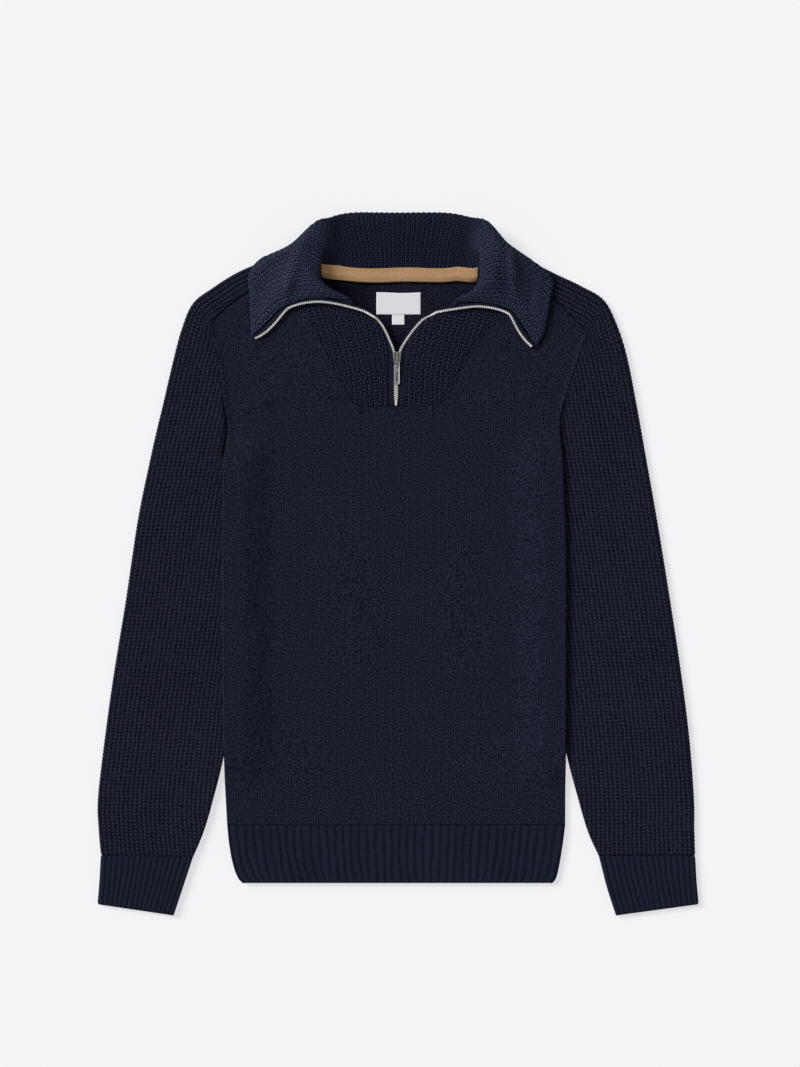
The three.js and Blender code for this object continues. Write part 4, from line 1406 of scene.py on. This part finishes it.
def collar_point(u: Array, v: Array) -> Array:
    """Places on the collar.

    Args:
        u: Section numbers.
        v: Shares from seam to free edge, same shape.

    Returns:
        Points in mm.
    """
    row = spline(COLLAR_ROWS, u)
    stops = row[..., :15].reshape(*row.shape[:-1], 5, 3)
    t = np.asarray(v) * 4
    k = np.clip(np.floor(t), 0, 3).astype(int)
    ends = np.concatenate([2 * stops[..., :1, :] - stops[..., 1:2, :], stops,
                           2 * stops[..., -1:, :] - stops[..., -2:-1, :]], axis=-2)

    def pick(n: int) -> Array:
        """Stop n places on from the one before the span."""
        return np.take_along_axis(ends, (k + n)[..., None, None], axis=-2)[..., 0, :]

    p = blend(pick(0), pick(1), pick(2), pick(3), (t - k)[..., None])
    bow = np.sin(np.pi * np.clip((np.asarray(v) - 0.72) / 0.28, 0, 1))
    left = bow * (1 - smooth(0, 1.8, u))
    right = bow * (1 - smooth(0, 1.8, LAST - np.asarray(u)))
    p[..., 0] += 1.7 * left - 4.5 * right
    p[..., 1] -= 5.6 * left + 2.0 * right
    below = SLEEVE_LAID + 0.4 + COLLAR / 2 + rise(p[..., 0], p[..., 1])
    p[..., 2] = np.maximum(p[..., 2], row[..., 15] * smooth(0.3, 0.5, v) * below)
    return p


@dataclass
class Collar:
    """Waffle collar turned out over the shoulders.

    Attributes:
        across: Columns round the neck.
        up: Rows from seam to free edge.
        wale: Width of a wale in mm.
        courses: Courses from seam to free edge.
        relief: Depth of the knit in mm.
    """

    across: int = 680
    up: int = 132
    wale: float = 5.8
    courses: int = 36
    relief: float = 0.9

    def cloth(self) -> Cloth:
        """Lay out the collar."""
        t, length = self._spread()
        fine = np.linspace(0, 1, 61)
        v = np.empty((len(t), self.up + 1))
        for i, share in enumerate(t):
            run = run_length(collar_point(np.full_like(fine, mix(1.0, LAST - 1.0, share)), fine))
            v[i] = np.interp(np.linspace(0, run[-1], self.up + 1), run, fine)
        end = 1.0 + COLLAR_END * (1 - smooth(0.14, 0.52, v))
        u = mix(end, LAST - end, t[:, None])
        grid = collar_point(u, v)
        grid[..., 2] += creases(COLLAR_CREASES, grid[..., 0], grid[..., 1])
        p = np.linspace(0, length / self.wale, len(t))[:, None] + 0 * v
        q = np.linspace(0, self.courses, self.up + 1)[None] + 0 * v
        tone = pattern(Knit.CHAIN, p, q)
        # Painted light: the wings lighter than the back of the collar, which faces away from the light, and
        # the left wing lighter than the right, as lit from the left.
        light = 0.95 + np.where(u < LAST / 2, 1.15, 0.85) * smooth(1.3, 2.6, np.abs(u - LAST / 2))
        return Cloth("collar", grid, COLLAR, relief=self.relief * (tone - 0.55), tone=tone, coarse=(4, 4),
                     floor=0.05, stitch=stitches(p, q, light))

    def _spread(self) -> tuple[Array, float]:
        """Shares round the collar, even in length between its seam and its free edge.

        Returns:
            The shares, and the length in mm that they cover.
        """
        dense = np.linspace(0, 1, 800)
        u = mix(1.0, LAST - 1.0, dense)
        lines = [collar_point(u, np.full_like(u, v)) for v in (0.3, 0.5, 0.7, 0.85)]
        run = sum(run_length(line) for line in lines) / len(lines)
        return np.interp(np.linspace(0, run[-1], self.across + 1), run, dense), float(run[-1])

    def build(self, tailor: Tailor) -> None:
        """Make the collar."""
        tailor.sew(self.cloth(), tailor.wardrobe.chain_knit, "navy_waffle")


class ToothTree:
    """Geometry Nodes tree that sets one small solid on each point of a row."""

    def __init__(self, name: str, solid: bpy.types.Object, material: bpy.types.Material) -> None:
        """Build the tree.

        Args:
            name: Name of the tree.
            solid: The solid that is repeated.
            material: Its finish.
        """
        self.tree = bpy.data.node_groups.new(name, "GeometryNodeTree")
        for way in ("INPUT", "OUTPUT"):
            self.tree.interface.new_socket("Row", in_out=way, socket_type="NodeSocketGeometry")
        n = Nodes(self.tree)
        start = n.add("NodeGroupInput")
        up, ahead = (n.add("GeometryNodeInputNamedAttribute", {"Name": key}, data_type="FLOAT_VECTOR")
                     for key in ("up", "ahead"))
        stand = n.add("FunctionNodeAlignRotationToVector", {"Vector": up.outputs[0]}, axis="Z")
        turn = n.add("FunctionNodeAlignRotationToVector",
                     {"Rotation": stand.outputs[0], "Vector": ahead.outputs[0]}, axis="Y", pivot_axis="Z")
        piece = n.add("GeometryNodeObjectInfo", {"Object": solid})
        spread = n.add("GeometryNodeInstanceOnPoints", {
            "Points": start.outputs["Row"],
            "Instance": piece.outputs["Geometry"],
            "Rotation": turn.outputs[0],
        })
        real = n.add("GeometryNodeRealizeInstances", {"Geometry": spread.outputs[0]})
        finish = n.add("GeometryNodeSetMaterial", {"Geometry": real.outputs[0], "Material": material})
        n.add("NodeGroupOutput", {0: finish.outputs[0]})

    def grow(self, name: str, points: Array, ahead: Array, up: Array) -> bpy.types.Object:
        """Repeat the solid along a row.

        Args:
            name: Name of the resulting piece.
            points: Places in mm.
            ahead: Direction along the row at each place.
            up: Direction out of the cloth at each place.

        Returns:
            A plain mesh object.
        """
        mesh = bpy.data.meshes.new(name + "_row")
        mesh.from_pydata((points * MM).tolist(), [], [])
        for key, value in (("ahead", ahead), ("up", up)):
            data = mesh.attributes.new(key, "FLOAT_VECTOR", "POINT").data
            data.foreach_set("vector", np.ascontiguousarray(value, np.float32).ravel())
        row = place_object(mesh.name, mesh)
        row.modifiers.new("teeth", "NODES").node_group = self.tree
        result = applied_mesh(row)
        bpy.data.objects.remove(row)
        return place_object(name, result)


def block(name: str, size: tuple[float, float, float], bevel: float, taper: float = 1.0) -> bpy.types.Object:
    """A small bevelled solid to repeat.

    Args:
        name: Object name.
        size: Width, length and height in mm.
        bevel: Bevel in mm.
        taper: Scale of its far end against its near one.

    Returns:
        The object, hidden.
    """
    w, d, h = (s / 2 * MM for s in size)
    points = np.array([[x * (taper if x > 0 else 1), y * (taper if x > 0 else 1), z]
                       for x in (-w, w) for y in (-d, d) for z in (-h, h)])
    faces = [(0, 1, 3, 2), (4, 6, 7, 5), (0, 4, 5, 1), (2, 3, 7, 6), (0, 2, 6, 4), (1, 5, 7, 3)]
    mesh = bpy.data.meshes.new(name)
    mesh.from_pydata(points.tolist(), [], faces)
    obj = place_object(name, mesh)
    modifier = obj.modifiers.new("bevel", "BEVEL")
    modifier.width = bevel * MM
    modifier.segments = 1
    obj.data = applied_mesh(obj)
    obj.modifiers.clear()
    obj.hide_render = True
    obj.hide_viewport = True
    return obj


@dataclass
class Zip:
    """Tapes and teeth.

    Attributes:
        pitch: Distance between two teeth of a row in mm.
        tooth: Width, length and height of a tooth in mm.
        lower: Rows of a tape below the neck seam.
        upper: Rows of a tape on the collar.
        slider: Row at which the slider sits.
        middle: Place across of the closed teeth.
    """

    pitch: float = 2.1
    tooth: tuple[float, float, float] = (2.9, 1.7, 2.2)
    lower: int = 60
    upper: int = 130
    slider: int = 26
    middle: float = -2.2

    def rows(self, side: str) -> tuple[Array, Array]:
        """Tooth edge and cloth edge of one tape, from the bottom to the collar's tip."""
        edges = (0.0, COLLAR_TAPE) if side == "left" else (float(LAST), LAST - COLLAR_TAPE)
        low = curve(ZIP_LOWER[side], np.linspace(0, 1, self.lower))
        v = np.linspace(0.02, 1, self.upper)
        tooth, cloth = (np.concatenate([np.column_stack([xy, inset_height(xy[:, 0], xy[:, 1])]),
                                        collar_point(np.full_like(v, edge), v)])
                        for xy, edge in zip((low[:, :2], low[:, 2:]), edges))
        return tooth, cloth

    def tape(self, side: str) -> Cloth:
        """Lay out one tape."""
        tooth, cloth = self.rows(side)
        share = np.linspace(0, 1, 9)[:, None, None]
        return Cloth(f"zip_tape_{side}", mix(tooth[None], cloth[None], share), TAPE, flip=side == "left",
                     soft_edge=0.6)

    def open_row(self, side: str) -> tuple[Array, Array, Array]:
        """Places and directions of the teeth above the slider."""
        tooth, cloth = (edge[self.slider:] for edge in self.rows(side))
        across = unit(cloth - tooth)
        line = tooth - across
        run = run_length(line)
        at = np.arange(1.5, run[-1] - 0.8, self.pitch)
        ahead = read_along(np.gradient(line, run, axis=0), run, at)
        return read_along(line, run, at), ahead, unit(np.cross(ahead, read_along(across, run, at)))

    def closed_row(self) -> tuple[Array, Array, Array]:
        """Places and directions of the meshed teeth below the slider."""
        y = np.arange(180.2, 225.6, self.pitch / 2)
        side = np.where(np.arange(len(y)) % 2 == 0, -1.0, 1.0)
        x = self.middle + side * (0.1 + 1.15 * smooth(179, 191, y))
        place = np.stack([x, y, inset_height(0 * y, y)], -1)
        ahead = np.stack([0 * y, side, 0 * y], -1)
        return place, ahead, np.broadcast_to([0.0, 0.0, 1.0], place.shape)

    def build(self, tailor: Tailor) -> None:
        """Make tapes and teeth."""
        for side in ("left", "right"):
            tailor.sew(self.tape(side), tailor.wardrobe.tape, "zip_tape")
        tree = ToothTree("teeth_row", block("tooth_form", self.tooth, 0.35, 0.8), tailor.wardrobe.teeth)
        for side in ("left", "right"):
            teeth = tree.grow(f"teeth_{side}", *self.open_row(side))
            tailor.dress(teeth, tailor.wardrobe.teeth, f"zip_teeth_{side}", slot="zip_metal")
        teeth = tree.grow("teeth_closed", *self.closed_row())
        tailor.dress(teeth, tailor.wardrobe.chain, "zip_chain", slot="zip_metal")


@dataclass
class NeckTrim:
    """Neck tape with its stitches, label and size tab.

    Attributes:
        pitch: Distance between two stitches in mm.
        left: x of the tape's left end.
        right: x of the tape's right end.
        columns: Columns along the tape.
        rows: Rows across the tape.
    """

    pitch: float = 3.2
    left: float = -87.0
    right: float = 90.5
    columns: int = 150
    rows: int = 29

    def tape(self) -> Cloth:
        """Lay out the neck tape over the back neck seam."""
        u = np.linspace(6.7, 11.3, 220)
        foot = collar_point(u, 0 * u)
        lines = [np.stack([foot[:, 0], foot[:, 1] - 5.6, np.full_like(u, JERSEY + 2.6 + TRIM / 2)], -1)]
        for v in (0.0, 0.02, 0.04, 0.055, 0.07, 0.085):
            v = v + 0 * u
            du = collar_point(u + 0.05, v) - collar_point(u - 0.05, v)
            dv = collar_point(u, v + 0.02) - collar_point(u, np.maximum(0.0, v - 0.02))
            lines.append(collar_point(u, v) + unit(np.cross(du, dv)) * (COLLAR / 2 + 0.45 + TRIM / 2))
        x = np.linspace(self.left, self.right, self.columns)
        cut = np.stack([np.stack([x] + [np.interp(x, line[:, 0], line[:, k]) for k in (1, 2)], -1)
                        for line in lines], 1)
        grid = np.stack([spline(column, np.linspace(0, len(lines) - 1, self.rows)) for column in cut])
        across = grid[..., 0] / 88.0
        up = np.linspace(0, 1, self.rows)[None]
        grid[..., 1] -= mix(6.0, 8.6, up) * smooth(0.72, 1.02, across)
        grid[..., 1] -= mix(0.8, 4.0, up) * smooth(0.72, 1.0, -across)
        grid[..., 1] += 0.5 * np.sin(across * 7.0 + 0.6)
        grid[..., 2] += 0.25 * np.sin(grid[..., 0] / 9.0) * smooth(0, 1, 1 - up)
        return Cloth("neck_tape", grid, TRIM, soft_edge=0.7)

    def row(self, line: Array) -> tuple[Array, Array, Array]:
        """Places and directions of the stitches along a line of the tape's middle.

        Args:
            line: Points in mm.

        Returns:
            Places, directions ahead and directions up.
        """
        run = run_length(line)
        at = np.arange(2.0, run[-1] - 1.5, self.pitch)
        ahead = read_along(np.gradient(line, run, axis=0), run, at)
        up = np.broadcast_to([0.0, -0.2, 1.0], ahead.shape)
        up = unit(up - ahead * (up * ahead).sum(1, keepdims=True) / (ahead**2).sum(1, keepdims=True))
        return read_along(line, run, at) + up * (TRIM / 2 + 0.02), ahead, up

    @staticmethod
    def patch(name: str, x0: float, x1: float, y0: float, y1: float) -> Cloth:
        """A bare woven patch lying on the back panel."""
        x, y = np.meshgrid(np.linspace(x0, x1, 40), np.linspace(y0, y1, 30), indexing="ij")
        y = y + 0.4 * np.sin((x - x0) / 8.0 + 1.0) * smooth(y0, y1, y)
        z = JERSEY + 0.3 + TRIM / 2 + 0.25 * np.abs(np.sin((x - x0) / (x1 - x0) * 2.2)) * smooth(y1, y0, y)
        return Cloth(name, np.stack([x, y, z], -1), TRIM, soft_edge=0.6)

    def build(self, tailor: Tailor) -> None:
        """Make the trim."""
        tape = self.tape()
        tailor.sew(tape, tailor.wardrobe.neck, "neck_tape")
        thread = block("thread_form", (0.42, 2.1, 0.34), 0.12)
        tree = ToothTree("tan_stitches", thread, tailor.wardrobe.thread)
        for name, column in (("low", 3), ("high", -4)):
            seam = tree.grow(f"stitches_neck_{name}", *self.row(tape.grid[::2, column]))
            tailor.dress(seam, tailor.wardrobe.thread, slot="neck_tape")
        for name, x0, x1, y0, y1 in PATCHES:
            patch = self.patch(name, x0, x1, y0, y1)
            tailor.sew(patch, tailor.wardrobe.label, "label_white")


@dataclass
class Studio:
    """Pale surface, soft light and the camera straight above.

    Attributes:
        scale: Size of a pixel in mm.
        pixels: Width of the picture in pixels.
        centre_x: x of the place below the camera, in mm.
        centre_y: y of the place below the camera, in mm.
        distance: Height of the camera over the level that is in scale.
        level: Height of that level.
        half: Half the width of the floor in metres.
    """

    scale: float = 1.13
    pixels: int = 800
    centre_x: float = 2.26
    centre_y: float = 34.8
    distance: float = 3200.0
    level: float = 6.0
    half: float = 40.0

    def build(self) -> None:
        """Set up the floor, lights and camera."""
        self._floor()
        world = bpy.data.worlds.new("studio")
        bpy.context.scene.world = world
        world.use_nodes = True
        world.node_tree.nodes["Background"].inputs["Color"].default_value = (0.95, 0.97, 1.0, 1)
        world.node_tree.nodes["Background"].inputs["Strength"].default_value = 0.42
        self._sun("key", (-0.84, 0.48, 0.66), 26.0, 3.5)
        camera = bpy.data.cameras.new("camera")
        camera.sensor_fit = "HORIZONTAL"
        camera.sensor_width = 36.0
        camera.lens = camera.sensor_width * self.distance / (self.pixels * self.scale)
        camera.clip_end = 50
        obj = place_object("camera", camera)
        obj.location = (self.centre_x * MM, self.centre_y * MM, (self.distance + self.level) * MM)
        bpy.context.scene.camera = obj

    def _floor(self) -> None:
        """Add the pale surface, which glows a little so that it stays near white."""
        mesh = bpy.data.meshes.new("floor")
        corners = [(x * self.half, y * self.half, 0) for x, y in ((-1, -1), (1, -1), (1, 1), (-1, 1))]
        mesh.from_pydata(corners, [], [(0, 1, 2, 3)])
        mat = bpy.data.materials.new("pale_floor")
        mat.use_nodes = True
        inputs = mat.node_tree.nodes["Principled BSDF"].inputs
        inputs["Base Color"].default_value = (0.27, 0.27, 0.27, 1)
        inputs["Roughness"].default_value = 0.9
        inputs["Specular IOR Level"].default_value = 0.0
        inputs["Emission Color"].default_value = (0.985, 0.975, 1.0, 1)
        inputs["Emission Strength"].default_value = 0.64
        mesh.materials.append(mat)
        place_object("floor", mesh)

    @staticmethod
    def _sun(name: str, place: tuple[float, float, float], spread: float, strength: float) -> None:
        """Add a broad far lamp.

        Args:
            name: Lamp name.
            place: Direction that it shines from.
            spread: Angle that it fills, in degrees.
            strength: Its strength.
        """
        lamp = bpy.data.lights.new(name, "SUN")
        lamp.angle = math.radians(spread)
        lamp.energy = strength
        obj = place_object(name, lamp)
        obj.location = place
        obj.rotation_euler = (-obj.location).to_track_quat("-Z", "Y").to_euler()


def finish_metal(frame: dict, wardrobe: Wardrobe) -> None:
    """Give the slider and the pull tab their metal."""
    for name, material in (("slider", wardrobe.slider), ("pull_tab", wardrobe.pull)):
        obj = frame["nodes"][name]
        obj.data.materials.clear()
        obj.data.materials.append(material)


def main() -> None:
    """Build the dressed sweater."""
    logging.basicConfig(level=logging.INFO, format="%(message)s")
    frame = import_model()
    bpy.context.scene.view_settings.view_transform = "Standard"
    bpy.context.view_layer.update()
    Studio().build()
    wardrobe = Wardrobe()
    tailor = Tailor(wardrobe)
    for part in (BodyPanels(), Sleeves(), HemBand(), Insets(), Collar(), Zip(), NeckTrim()):
        part.build(tailor)
    finish_metal(frame, wardrobe)
    log.info("%d pieces", len(tailor.made))


if __name__ == "__main__":
    main()
